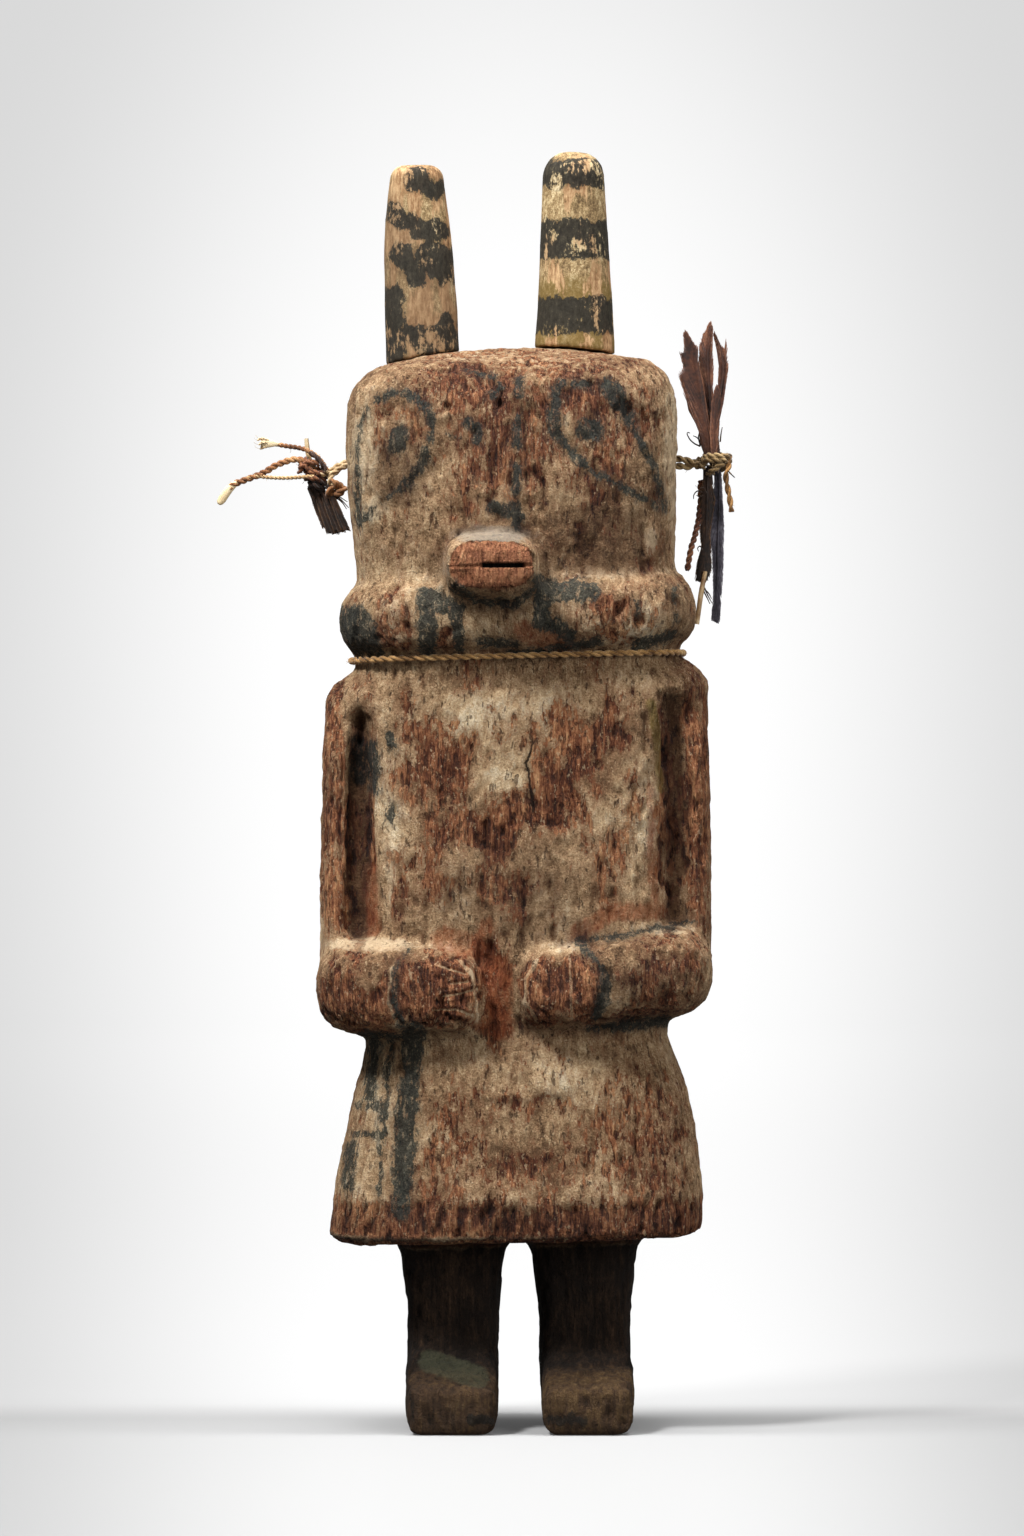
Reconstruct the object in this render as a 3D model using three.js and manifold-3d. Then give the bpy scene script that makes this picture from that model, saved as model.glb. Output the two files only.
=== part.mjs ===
// A carved wooden kachina doll with two horns, a twine at the neck, and twine with cut feathers
// at each ear. Millimetres, +Z up. The doll faces -Y, and left and right are as seen from the front.
import * as THREE from 'three';
import { mergeVertices } from 'three/addons/utils/BufferGeometryUtils.js';
import Module from 'manifold-3d';

const wasm = await Module();
wasm.setup();

// Driving dimensions
const totalHeight = 300;
const legHeight = 44.3;
const waistHeight = 92;
const shoulderHeight = 179.5;
const neckHeight = 181;
const ruffTopHeight = 200;
const crownHeight = 250.5;
const crownDome = 3.2;
const earHeight = 226.3;
const touchGap = 0.3;
const twineDiameter = 1.4;
const earTwineDiameter = 1.8;
const featherThickness = 0.7;

// Where the middle of the doll's own box stands in the coordinates that the sizes use
const standingPoint = { x: 2.5, y: -5.3 };

const colours = {
  carvedWood: 0x8a6f58,
  hornWood: 0x9c8358,
  twine: 0xb08a5c,
  paleTwine: 0xc9ab82,
  brownFeather: 0x5a3020,
  darkFeather: 0x2a201f,
  slateFeather: 0x4a4552,
  quill: 0xc2a97c,
};

// Value of one measure at a place between the stations, on a smooth curve that doesn't overshoot.
function smoothValue(stations, key, at) {
  const last = stations.length - 1;
  const rise = (k) => (stations[k + 1][key] - stations[k][key]) / (stations[k + 1].at - stations[k].at);
  const slope = (k) => {
    if (k === 0) return rise(0);
    if (k === last) return rise(last - 1);
    const before = rise(k - 1);
    const after = rise(k);
    return before * after <= 0 ? 0 : (2 * before * after) / (before + after);
  };
  let k = 0;
  while (k < last - 1 && at > stations[k + 1].at) k += 1;
  const span = stations[k + 1].at - stations[k].at;
  const t = THREE.MathUtils.clamp((at - stations[k].at) / span, 0, 1);
  const start = stations[k][key];
  const end = stations[k + 1][key];
  const ease = t * t * (3 - 2 * t);
  const leave = t * (1 - t) * (1 - t) * span * slope(k);
  const arrive = t * t * (t - 1) * span * slope(k + 1);
  return start + (end - start) * ease + leave + arrive;
}

// How a block's own directions (across, through, along) turn into the doll's X, Y and Z.
const directions = {
  up: (across, through, along) => [across, through, along],
  forward: (across, through, along) => [across, -along, through],
  sideways: (across, through, along) => [along, across, through],
};

// A block carved to sections along one direction, closed at both ends. A station gives where the
// section starts and ends across (left, right) and through (near, far), and how square it is:
// 2 is an ellipse, and more is boxier. Both end edges are rounded over, and the last end may be domed.
function carvedBlock(form) {
  const { stations, firstRound = 0, lastRound = 0, dome = 0, tilt = 0 } = form;
  const { sides = 32, rows = 8, roundRows = 3, direction = 'up' } = form;
  const first = stations[0].at;
  const last = stations[stations.length - 1].at;
  const levels = [];
  for (let i = 0; i < roundRows && firstRound > 0; i += 1) {
    const angle = (i / roundRows) * (Math.PI / 2);
    levels.push({ at: first + firstRound * (1 - Math.cos(angle)), inset: firstRound * (1 - Math.sin(angle)) });
  }
  for (let i = 0; i <= rows; i += 1) {
    levels.push({ at: THREE.MathUtils.lerp(first + firstRound, last - lastRound, i / rows), inset: 0 });
  }
  for (let i = roundRows - 1; i >= 0 && lastRound > 0; i -= 1) {
    const angle = (i / roundRows) * (Math.PI / 2);
    levels.push({ at: last - lastRound * (1 - Math.cos(angle)), inset: lastRound * (1 - Math.sin(angle)) });
  }
  const domeRings = dome > 0 ? [0.75, 0.45] : [];
  for (const shrink of domeRings) {
    levels.push({ at: last + dome * (1 - shrink * shrink), inset: lastRound, shrink });
  }

  const positions = [];
  const addPoint = (across, through, along) => {
    positions.push(...directions[direction](across, through, along + tilt * across));
    return positions.length / 3 - 1;
  };
  const middles = { across: 0, through: 0 };
  const rings = levels.map(({ at, inset, shrink = 1 }) => {
    const value = (key) => smoothValue(stations, key, at);
    const acrossMiddle = (value('left') + value('right')) / 2;
    const throughMiddle = (value('near') + value('far')) / 2;
    const acrossReach = Math.max((value('right') - value('left')) / 2 - inset, 0.2) * shrink;
    const throughReach = Math.max((value('far') - value('near')) / 2 - inset, 0.2) * shrink;
    middles.across = acrossMiddle;
    middles.through = throughMiddle;
    const ring = [];
    for (let i = 0; i < sides; i += 1) {
      const angle = (i / sides) * 2 * Math.PI;
      const c = Math.cos(angle);
      const s = Math.sin(angle);
      const power = 2 / value('square');
      const across = acrossMiddle + Math.sign(c) * acrossReach * Math.abs(c) ** power;
      const through = throughMiddle + Math.sign(s) * throughReach * Math.abs(s) ** power;
      ring.push(addPoint(across, through, at));
    }
    return ring;
  });

  const faces = [];
  for (let r = 0; r < rings.length - 1; r += 1) {
    for (let i = 0; i < sides; i += 1) {
      const next = (i + 1) % sides;
      faces.push(rings[r][i], rings[r][next], rings[r + 1][next]);
      faces.push(rings[r][i], rings[r + 1][next], rings[r + 1][i]);
    }
  }
  const start = stations[0];
  const firstMiddle = addPoint((start.left + start.right) / 2, (start.near + start.far) / 2, first);
  const lastMiddle = addPoint(middles.across, middles.through, last + dome);
  const lastRing = rings[rings.length - 1];
  for (let i = 0; i < sides; i += 1) {
    const next = (i + 1) % sides;
    faces.push(firstMiddle, rings[0][next], rings[0][i]);
    faces.push(lastMiddle, lastRing[i], lastRing[next]);
  }
  const geometry = new THREE.BufferGeometry();
  geometry.setAttribute('position', new THREE.Float32BufferAttribute(positions, 3));
  geometry.setIndex(faces);
  return geometry;
}

// A twine along a smooth route through hand-chosen points.
function twine(points, diameter, stepLength = 3.2) {
  const route = new THREE.CatmullRomCurve3(points.map((point) => new THREE.Vector3(...point)));
  const section = new THREE.Shape();
  for (let i = 0; i < 8; i += 1) {
    const angle = (i / 8) * 2 * Math.PI;
    const x = (diameter / 2) * Math.cos(angle);
    const y = (diameter / 2) * Math.sin(angle);
    if (i === 0) section.moveTo(x, y);
    else section.lineTo(x, y);
  }
  const steps = Math.max(4, Math.round(route.getLength() / stepLength));
  return new THREE.ExtrudeGeometry(section, { steps, extrudePath: route, bevelEnabled: false });
}

// A round lump, such as a knot, from its middle and its three half sizes.
function lump([x, y, z], [halfX, halfY, halfZ], detail = 10) {
  const geometry = new THREE.SphereGeometry(1, detail, Math.round(detail * 0.7));
  geometry.scale(halfX, halfY, halfZ);
  geometry.translate(x, y, z);
  return geometry;
}

// A flat blade cut to an outline of [x, z] points, its middle at depth y, curling back away from its root.
function blade({ outline, y, root, curl = 0 }) {
  const shape = new THREE.Shape(outline.map(([x, z]) => new THREE.Vector2(x, z)));
  const geometry = new THREE.ExtrudeGeometry(shape, { depth: featherThickness, bevelEnabled: false });
  geometry.rotateX(Math.PI / 2);
  geometry.translate(0, y + featherThickness / 2, 0);
  const position = geometry.getAttribute('position');
  for (let i = 0; i < position.count; i += 1) {
    const away = Math.abs(position.getZ(i) - root) / 30;
    position.setY(i, position.getY(i) + curl * away * away);
  }
  return geometry;
}

function toSolid(geometry) {
  const bare = geometry.index ? geometry.clone() : geometry;
  bare.deleteAttribute('normal');
  bare.deleteAttribute('uv');
  const merged = mergeVertices(bare, 1e-4);
  const vertProperties = new Float32Array(merged.getAttribute('position').array);
  const triVerts = new Uint32Array(merged.index.array);
  return new wasm.Manifold(new wasm.Mesh({ numProp: 3, vertProperties, triVerts }));
}

function toGeometry(solid) {
  const mesh = solid.getMesh();
  const geometry = new THREE.BufferGeometry();
  const positions = new Float32Array(mesh.numVert * 3);
  for (let i = 0; i < mesh.numVert; i += 1) {
    for (let axis = 0; axis < 3; axis += 1) {
      positions[i * 3 + axis] = mesh.vertProperties[i * mesh.numProp + axis];
    }
  }
  geometry.setAttribute('position', new THREE.BufferAttribute(positions, 3));
  geometry.setIndex(new THREE.BufferAttribute(new Uint32Array(mesh.triVerts), 1));
  geometry.computeVertexNormals();
  return geometry;
}

const join = (geometries) => geometries.map(toSolid).reduce((whole, piece) => whole.add(piece));

// Kilt: flares from the waist to a hem with a rounded edge, and reaches up inside the belly.
const kilt = carvedBlock({
  stations: [
    { at: legHeight, left: -44.4, right: 44, near: -27.5, far: 26.5, square: 3.2 },
    { at: 50, left: -44.1, right: 44.2, near: -27.6, far: 26.6, square: 3.1 },
    { at: 63, left: -41.8, right: 42.9, near: -26.6, far: 25.4, square: 3 },
    { at: 76, left: -39.1, right: 41.1, near: -25.2, far: 23.6, square: 2.9 },
    { at: waistHeight - 2, left: -35.4, right: 36, near: -23.6, far: 21.4, square: 2.8 },
    { at: waistHeight + 8, left: -34.6, right: 34.2, near: -23, far: 20.6, square: 2.8 },
  ],
  firstRound: 2.8,
  tilt: 0.022,
  rows: 5,
});

// Torso: a full chest that widens to the shoulders at the top, which slope up to the right.
const torso = carvedBlock({
  stations: [
    { at: waistHeight - 1, left: -34, right: 34, near: -23.5, far: 20.5, square: 3 },
    { at: 104, left: -37.6, right: 37, near: -25.4, far: 21.4, square: 3.1 },
    { at: 130, left: -37.6, right: 37, near: -26.2, far: 22, square: 3.2 },
    { at: 156, left: -38, right: 37.6, near: -25.8, far: 21.6, square: 3.2 },
    { at: 166, left: -42.6, right: 43.4, near: -24.8, far: 20.8, square: 3 },
    { at: 171, left: -43.8, right: 45.6, near: -24.4, far: 20.4, square: 2.9 },
    { at: shoulderHeight, left: -42.6, right: 44, near: -24.2, far: 20, square: 2.9 },
  ],
  lastRound: 7.5,
  roundRows: 4,
  tilt: 0.034,
  rows: 8,
});

// Upper arms: hang beside the chest, set back from its front, down to the elbows.
function upperArm({ outer, inner, elbow }) {
  const left = Math.min(outer, inner);
  const right = Math.max(outer, inner);
  const outward = Math.sign(outer);
  const station = (at, push, near, far, square) => ({
    at,
    left: outward < 0 ? left - push : left,
    right: outward > 0 ? right + push : right,
    near,
    far,
    square,
  });
  return carvedBlock({
    stations: [
      station(elbow, 0.6, -20, 13.5, 3.2),
      station(125, 0.4, -18.6, 13.4, 3.2),
      station(150, 0, -18, 13, 3),
      station(164, -0.2, -17, 12, 2.8),
      station(176, -1, -12, 8, 2.4),
    ],
    firstRound: 7,
    lastRound: 5,
    rows: 5,
    roundRows: 2,
    sides: 18,
  });
}
const leftUpperArm = upperArm({ outer: -45.6, inner: -33, elbow: 94 });
const rightUpperArm = upperArm({ outer: 45.5, inner: 33, elbow: 98 });

// Forearms: bend forward at the elbow and lie across the belly, each ending in a round-tipped hand.
const leftForearm = carvedBlock({
  direction: 'sideways',
  stations: [
    { at: -46.9, left: -26, right: 12.5, near: 93.2, far: 114.6, square: 3 },
    { at: -38, left: -29, right: 8, near: 92.6, far: 115.4, square: 3 },
    { at: -28, left: -30.6, right: 0, near: 92.6, far: 115, square: 3.2 },
    { at: -18, left: -31.6, right: -6, near: 93, far: 114.2, square: 3.2 },
    { at: -8.4, left: -31.4, right: -8, near: 93.6, far: 112.8, square: 2.9 },
  ],
  firstRound: 8.5,
  lastRound: 5,
  rows: 4,
  sides: 22,
});
const rightForearm = carvedBlock({
  direction: 'sideways',
  stations: [
    { at: 0.6, left: -31.6, right: -8, near: 95.2, far: 113.6, square: 2.9 },
    { at: 10, left: -32, right: -6, near: 94.6, far: 114.6, square: 3.2 },
    { at: 20, left: -31, right: 0, near: 95.2, far: 116, square: 3.2 },
    { at: 32, left: -29.4, right: 6, near: 96.2, far: 118, square: 3 },
    { at: 45.8, left: -26, right: 12.5, near: 97.4, far: 119, square: 3 },
  ],
  firstRound: 5,
  lastRound: 8.5,
  rows: 4,
  sides: 22,
});

// Grooves: long scoops in front between the chest and each upper arm, with steep chest sides. The
// left one is deep and narrow at its top, and the right one is shallow and wide.
function armGroove({ lowest, highest, bottom, top }) {
  const front = -38;
  return carvedBlock({
    stations: [
      { at: lowest, near: front, square: 2.2, ...bottom },
      { at: highest, near: front, square: 2.2, ...top },
    ],
    firstRound: 3.6,
    lastRound: 3.6,
    rows: 1,
    roundRows: 2,
    sides: 14,
  });
}
const grooves = [
  armGroove({
    lowest: 111,
    highest: 168.6,
    bottom: { left: -41.4, right: -33.4, far: -15.2 },
    top: { left: -40.2, right: -33, far: -12 },
  }),
  armGroove({
    lowest: 113,
    highest: 173,
    bottom: { left: 32.6, right: 41.6, far: -13.4 },
    top: { left: 32.8, right: 42.4, far: -14.8 },
  }),
];

// Neck: the crease between the shoulders and the ruff, where the twine lies.
const neck = carvedBlock({
  stations: [
    { at: 168, left: -37.6, right: 38, near: -24.2, far: 21.2, square: 3 },
    { at: 192, left: -37.6, right: 38, near: -24.4, far: 21.6, square: 3 },
  ],
  rows: 1,
});

// Ruff: a thick roll round the lower head, a little higher on the right.
const ruff = carvedBlock({
  stations: [
    { at: neckHeight + 1.1, left: -41, right: 41.8, near: -30, far: 27.8, square: 3 },
    { at: (neckHeight + ruffTopHeight) / 2, left: -41.7, right: 42.2, near: -31, far: 28.6, square: 3 },
    { at: ruffTopHeight, left: -40.4, right: 41.6, near: -29.8, far: 27.6, square: 3 },
  ],
  firstRound: 6,
  lastRound: 7,
  roundRows: 4,
  tilt: 0.03,
  rows: 2,
});

// Head: a tall block, wider towards its rounded and slightly domed crown.
const head = carvedBlock({
  stations: [
    { at: 192, left: -36.4, right: 36.9, near: -25.8, far: 24, square: 3.2 },
    { at: 206, left: -37.9, right: 37.2, near: -26.4, far: 24.4, square: 3.3 },
    { at: 222, left: -39.8, right: 37.6, near: -27, far: 24.8, square: 3.4 },
    { at: 235, left: -40.4, right: 37.8, near: -26.8, far: 24.6, square: 3.4 },
    { at: crownHeight, left: -38.6, right: 36.6, near: -26.2, far: 24, square: 3.2 },
  ],
  lastRound: 9.5,
  dome: crownDome,
  tilt: 0.028,
  roundRows: 4,
  rows: 5,
});

// Snout: a short squared muzzle, its underside bevelled back to the ruff, with a slit for the mouth.
const snout = carvedBlock({
  direction: 'forward',
  stations: [
    { at: 20, left: -17.4, right: 5.8, near: 191.2, far: 209.8, square: 3 },
    { at: 28, left: -17, right: 5.4, near: 192, far: 209.4, square: 3 },
    { at: 34, left: -16.4, right: 4.8, near: 194, far: 208.4, square: 3.2 },
    { at: 39.4, left: -15.9, right: 4.4, near: 195.8, far: 207.3, square: 3.4 },
  ],
  lastRound: 2.4,
  rows: 3,
  sides: 24,
});
const mouthWidth = 9.9;
const mouthSlit = new THREE.BoxGeometry(mouthWidth, 5, 1.1);
mouthSlit.translate(-3, -39.4, 201.5);

// Legs: two posts under the kilt.
function leg({ outer, inner }) {
  const left = Math.min(outer, inner);
  const right = Math.max(outer, inner);
  return carvedBlock({
    stations: [
      { at: 8, left: left + 1, right: right - 0.8, near: -11, far: 12.4, square: 4 },
      { at: 27, left: left + 0.9, right: right - 0.6, near: -11, far: 11.8, square: 3.4 },
      { at: legHeight - 2, left: left - 0.9, right: right + 0.8, near: -11.6, far: 12.4, square: 3.2 },
      { at: legHeight + 4, left: left - 1.2, right: right + 1.2, near: -11.8, far: 12.6, square: 3.2 },
    ],
    rows: 4,
    sides: 20,
  });
}

// Feet: a flat sole, a sloping instep and a blunt toe, cut from the side view and rounded at the edges.
const footEdge = 2.4;
function foot({ left, right }) {
  const heel = 13 - footEdge;
  const toe = 24.4 - footEdge;
  const side = new THREE.Shape();
  side.moveTo(-heel, footEdge);
  side.lineTo(toe, footEdge);
  side.lineTo(toe, 11.6 - footEdge);
  side.quadraticCurveTo(16, 13.4 - footEdge, 10, 18.6 - footEdge);
  side.lineTo(4, 18.6 - footEdge);
  side.lineTo(-heel, 8 - footEdge);
  const geometry = new THREE.ExtrudeGeometry(side, {
    depth: right - left - 2 * footEdge,
    bevelSize: footEdge,
    bevelThickness: footEdge,
    bevelSegments: 2,
    curveSegments: 4,
  });
  geometry.rotateX(Math.PI / 2);
  geometry.rotateZ(-Math.PI / 2);
  geometry.translate(right - footEdge, 0, 0);
  return geometry;
}
const legsAndFeet = [
  leg({ outer: -26.6, inner: -3.4 }),
  leg({ outer: 27.6, inner: 4.2 }),
  foot({ left: -25.9, right: -4.3 }),
  foot({ left: 6, right: 27.2 }),
];

// Ear holes: blind holes in the sides of the head that the ear twines come out of.
const earHoleDepth = 5;
const earHoleRadius = 2.2;
const earHoles = [-40.3, 37.8].map((side) => {
  const hole = new THREE.CylinderGeometry(earHoleRadius, earHoleRadius, 2 * earHoleDepth, 12);
  hole.rotateZ(Math.PI / 2);
  hole.translate(side, 0, earHeight);
  return hole;
});

const body = join([kilt, torso, neck, ruff, head, leftUpperArm, rightUpperArm]);
const grooved = grooves.map(toSolid).reduce((whole, groove) => whole.subtract(groove), body);
const limbs = join([leftForearm, rightForearm, snout, ...legsAndFeet]);
const cuts = join([mouthSlit, ...earHoles]);
const carvedFigure = grooved.add(limbs).subtract(cuts);

// Horns: two tapered pegs with round tops that stand on the crown, just clear of the wood.
const raisedHead = toSolid(head.clone().translate(0, 0, touchGap));
function horn({ stations, lastRound }) {
  const shaft = carvedBlock({ stations, lastRound, rows: 5, sides: 16, roundRows: 4 });
  return toSolid(shaft).subtract(raisedHead);
}
const leftHorn = horn({
  stations: [
    { at: 244, left: -30.6, right: -13, near: -6, far: 10, square: 2.3 },
    { at: 262, left: -31, right: -13.9, near: -5.6, far: 9.6, square: 2.3 },
    { at: 276, left: -31.3, right: -14.9, near: -5.2, far: 9, square: 2.3 },
    { at: 289, left: -30.7, right: -16.5, near: -4.6, far: 8.4, square: 2.3 },
    { at: 296.6, left: -29.4, right: -17.6, near: -4.2, far: 8, square: 2.3 },
  ],
  lastRound: 2.6,
});
const rightHorn = horn({
  stations: [
    { at: 244, left: 4, right: 23.4, near: -6.6, far: 11, square: 2.2 },
    { at: 256, left: 4.4, right: 23, near: -6.4, far: 10.8, square: 2.2 },
    { at: 266, left: 5, right: 22.6, near: -5.8, far: 10.2, square: 2.2 },
    { at: 284, left: 5.7, right: 21.3, near: -5.2, far: 9.4, square: 2.2 },
    { at: totalHeight, left: 6.4, right: 20.2, near: -4.6, far: 8.8, square: 2.2 },
  ],
  lastRound: 5.4,
});

// Neck twine: a closed loop that follows the neck's section, lying in the crease and rising to the right.
const neckTwine = (() => {
  const points = [];
  const count = 64;
  const clearance = touchGap + twineDiameter / 2 + 0.15;
  for (let i = 0; i < count; i += 1) {
    const angle = (i / count) * 2 * Math.PI;
    const c = Math.cos(angle);
    const s = Math.sin(angle);
    const x = 0.2 + Math.sign(c) * (37.8 + clearance) * Math.abs(c) ** (2 / 3);
    const y = -1.4 + Math.sign(s) * (22.9 + clearance) * Math.abs(s) ** (2 / 3);
    points.push(new THREE.Vector3(x, y, neckHeight - 0.15 + 0.024 * x));
  }
  const route = new THREE.CatmullRomCurve3(points, true);
  const section = new THREE.Shape();
  section.absarc(0, 0, twineDiameter / 2, 0, 2 * Math.PI);
  const settings = { steps: 44, extrudePath: route, bevelEnabled: false, curveSegments: 4 };
  return new THREE.ExtrudeGeometry(section, settings);
})();

// Left ear twine: leaves the ear hole, is knotted and wrapped, and ends in two frayed tails.
const leftTailRoute = [
  [-37.5, 0, earHeight],
  [-41, -0.2, 225.8],
  [-43.6, -0.8, 223.8],
  [-47, -1.4, 225],
  [-50.9, -2, 227.2],
  [-55.6, -2.4, 226.3],
  [-59.9, -2.6, 223.9],
  [-63.6, -2.8, 222.5],
  [-66.6, -3, 221.2],
  [-69.7, -3.2, 217.2],
];
const leftUpperTailRoute = [
  [-46.8, -1.4, 227],
  [-49.8, -0.6, 229.6],
  [-54.9, 0.2, 230.4],
  [-60.6, 0.8, 231.4],
];
const leftEarTwine = join([
  twine(leftTailRoute, earTwineDiameter),
  twine(leftUpperTailRoute, 1.2),
  lump([-43.2, -1.4, 221], [2.8, 2.9, 3.3]),
  lump([-47.3, -1.2, 224.4], [2.6, 2.4, 3.9]),
]);

// Right ear twine: leaves the ear hole, is knotted and wound round the feathers, and ends in a short tail.
const rightEarTwine = join([
  twine([[35, 0, earHeight + 0.6], [38.8, -0.9, earHeight + 1], [42.8, -0.8, 226]], twineDiameter),
  twine([[35, 0, earHeight - 0.6], [38.8, 0.4, earHeight - 0.9], [42.8, -0.8, 226.4]], twineDiameter),
  twine([[48.6, -1.6, 225.4], [49.4, -2.2, 221.4], [50, -2.4, 219], [50.9, -2.6, 215]], 1.2),
  lump([42.9, -0.8, 226], [1.7, 2.2, 2.2]),
  lump([47.2, -0.8, 226.6], [3.5, 3.1, 3], 12),
]);

// Feathers at the left ear: four cut stubs that fan out under the knot, and a pale quill stub above.
function cutStub({ from, to, width, y }) {
  const along = new THREE.Vector2(to[0] - from[0], to[1] - from[1]).normalize();
  const across = new THREE.Vector2(-along.y, along.x).multiplyScalar(width / 2);
  const outline = [
    [from[0] - across.x * 0.6, from[1] - across.y * 0.6],
    [to[0] - across.x - along.x * 1.4, to[1] - across.y - along.y * 1.4],
    [to[0] + across.x, to[1] + across.y],
    [from[0] + across.x * 0.6, from[1] + across.y * 0.6],
  ];
  return blade({ outline, y, root: from[1], curl: -1 });
}
const leftStubs = [
  { from: [-48.2, 219.6], to: [-43.9, 210.4], width: 2.8, y: 0.9 },
  { from: [-46, 217.4], to: [-42.8, 209.2], width: 3, y: -0.3 },
  { from: [-44.4, 217.2], to: [-41.2, 209.6], width: 2.8, y: -1.5 },
  { from: [-42.8, 217.3], to: [-39.9, 210], width: 2.2, y: -2.7 },
];
const leftQuill = twine([[-48.6, 1.6, 226.6], [-49.2, 1.7, 229.6], [-49.5, 1.8, 232.4]], 1.3);

// Feathers at the right ear: frayed blades that stand up from the wrap.
const upperBlades = {
  right_feather_broad: {
    outline: [
      [43.2, 229.9], [42.2, 234.3], [39.9, 238.8], [38.9, 242.6], [39, 246.6], [39.4, 249.4], [38.6, 252.2],
      [39.8, 253], [39, 257], [39.4, 258.3], [42.5, 253.4], [44.2, 246], [44.9, 239.5], [45.9, 230],
    ],
    y: -2,
    curl: -0.6,
  },
  right_feather_tall: {
    outline: [
      [44.6, 229.9], [43.6, 241], [42.8, 250], [42.8, 255], [44.6, 258.6], [45.5, 260.4], [46.2, 256],
      [46.7, 250], [46.9, 242], [47.2, 229.9],
    ],
    y: -0.8,
    curl: 0.4,
  },
  right_feather_narrow: {
    outline: [
      [46.4, 229.9], [47.2, 240], [47.5, 249], [46.2, 255.4], [46.5, 258.8], [48.4, 254.6], [49.3, 255.6],
      [49.8, 249], [49.1, 243.7], [47.9, 238.4], [48, 229.9],
    ],
    y: 0.5,
    curl: 0.8,
  },
  right_feather_small: {
    outline: [[45.9, 229.9], [45.5, 238.5], [46, 242.6], [47.2, 245.4], [47.6, 241.8], [47, 229.9]],
    y: -3.2,
    curl: -0.4,
  },
};
const lowerBlades = {
  right_feather_drop: {
    outline: [
      [48.2, 223.2], [48.8, 214], [48.8, 205], [48.4, 196], [47.9, 190], [47.4, 188.7], [45.8, 189.6],
      [46.2, 197.4], [45.8, 208], [45.1, 213], [45.6, 223.2],
    ],
    y: 1,
    curl: 0.5,
  },
  right_feather_dark: {
    outline: [
      [46.8, 223.2], [45.6, 210], [46, 201], [44.6, 198.1], [41.9, 199.6], [42.6, 203.4], [43.3, 206],
      [43, 213], [43.4, 222.6],
    ],
    y: -0.6,
    curl: -0.4,
  },
};
const rightQuill = twine([[43.8, -2.6, 204], [43.5, -2.4, 198], [42.9, -2, 188.5]], 1.3);
const rightHangingCord = twine(
  [[43, -2.6, 222.4], [43, -2.8, 215], [42.1, -3, 210], [40.9, -3.2, 205.9], [40.1, -3.4, 201.2]],
  1.3,
);

// The finished group, each sub-part a named mesh
const doll = new THREE.Group();
const assembly = new THREE.Group();
assembly.position.set(-standingPoint.x, -standingPoint.y, 0);
doll.add(assembly);

function addPart(name, shape, colour, roughness) {
  const geometry = shape.isBufferGeometry ? shape : toGeometry(shape);
  const material = new THREE.MeshStandardMaterial({ color: colour, roughness, metalness: 0 });
  const mesh = new THREE.Mesh(geometry, material);
  mesh.name = name;
  assembly.add(mesh);
}

addPart('carved_figure', carvedFigure, colours.carvedWood, 0.92);
addPart('left_horn', leftHorn, colours.hornWood, 0.9);
addPart('right_horn', rightHorn, colours.hornWood, 0.9);
addPart('neck_cord', neckTwine, colours.twine, 0.85);
addPart('left_ear_cord', leftEarTwine, colours.paleTwine, 0.85);
leftStubs.forEach((stub, i) => addPart(`left_feather_${i + 1}`, cutStub(stub), colours.darkFeather, 0.7));
addPart('left_quill', leftQuill, colours.quill, 0.6);
addPart('right_ear_cord', rightEarTwine, colours.twine, 0.85);
for (const [name, form] of Object.entries(upperBlades)) {
  addPart(name, blade({ ...form, root: 229.9 }), colours.brownFeather, 0.7);
}
for (const [name, form] of Object.entries(lowerBlades)) {
  const colour = name.endsWith('drop') ? colours.slateFeather : colours.darkFeather;
  addPart(name, blade({ ...form, root: 223.2 }), colour, 0.7);
}
addPart('right_quill', rightQuill, colours.quill, 0.6);
addPart('right_hanging_cord', rightHangingCord, colours.twine, 0.85);

export default doll;
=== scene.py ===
import math

import bmesh
import bpy
import numpy as np
from mathutils import Matrix, Vector


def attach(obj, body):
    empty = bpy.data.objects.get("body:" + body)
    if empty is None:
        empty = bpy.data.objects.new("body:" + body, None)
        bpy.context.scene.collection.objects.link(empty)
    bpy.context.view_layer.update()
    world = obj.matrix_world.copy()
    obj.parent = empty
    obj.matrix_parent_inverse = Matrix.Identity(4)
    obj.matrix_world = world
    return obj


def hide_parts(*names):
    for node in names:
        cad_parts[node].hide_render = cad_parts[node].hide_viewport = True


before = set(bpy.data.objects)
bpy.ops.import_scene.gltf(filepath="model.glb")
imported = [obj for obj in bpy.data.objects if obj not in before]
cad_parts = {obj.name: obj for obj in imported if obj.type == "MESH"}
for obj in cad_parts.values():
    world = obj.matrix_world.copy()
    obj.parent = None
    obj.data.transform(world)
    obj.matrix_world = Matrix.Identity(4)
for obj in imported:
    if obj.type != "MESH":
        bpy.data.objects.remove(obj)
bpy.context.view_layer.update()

# Camera
# The doll was pictured from straight in front, level with its middle, from about 1.6 m away, so that
# the picture's height takes in 361.4 mm there.

# All places below are millimetres, with x = 0 at the nose line, y = 0 in the middle of the body and
# z = 0 on the floor. The middle of the doll's own box lies at the standing point.
MM = 0.001
standing_point = Vector((2.5, -5.3, 0))
view_distance = 1600
view_side = -1.06
view_height = 154.8
frame_height = 361.4


def placed(x, y, z):
    """A place in millimetres as a point of the frame in metres."""
    return (Vector((x, y, z)) - standing_point) * MM


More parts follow.
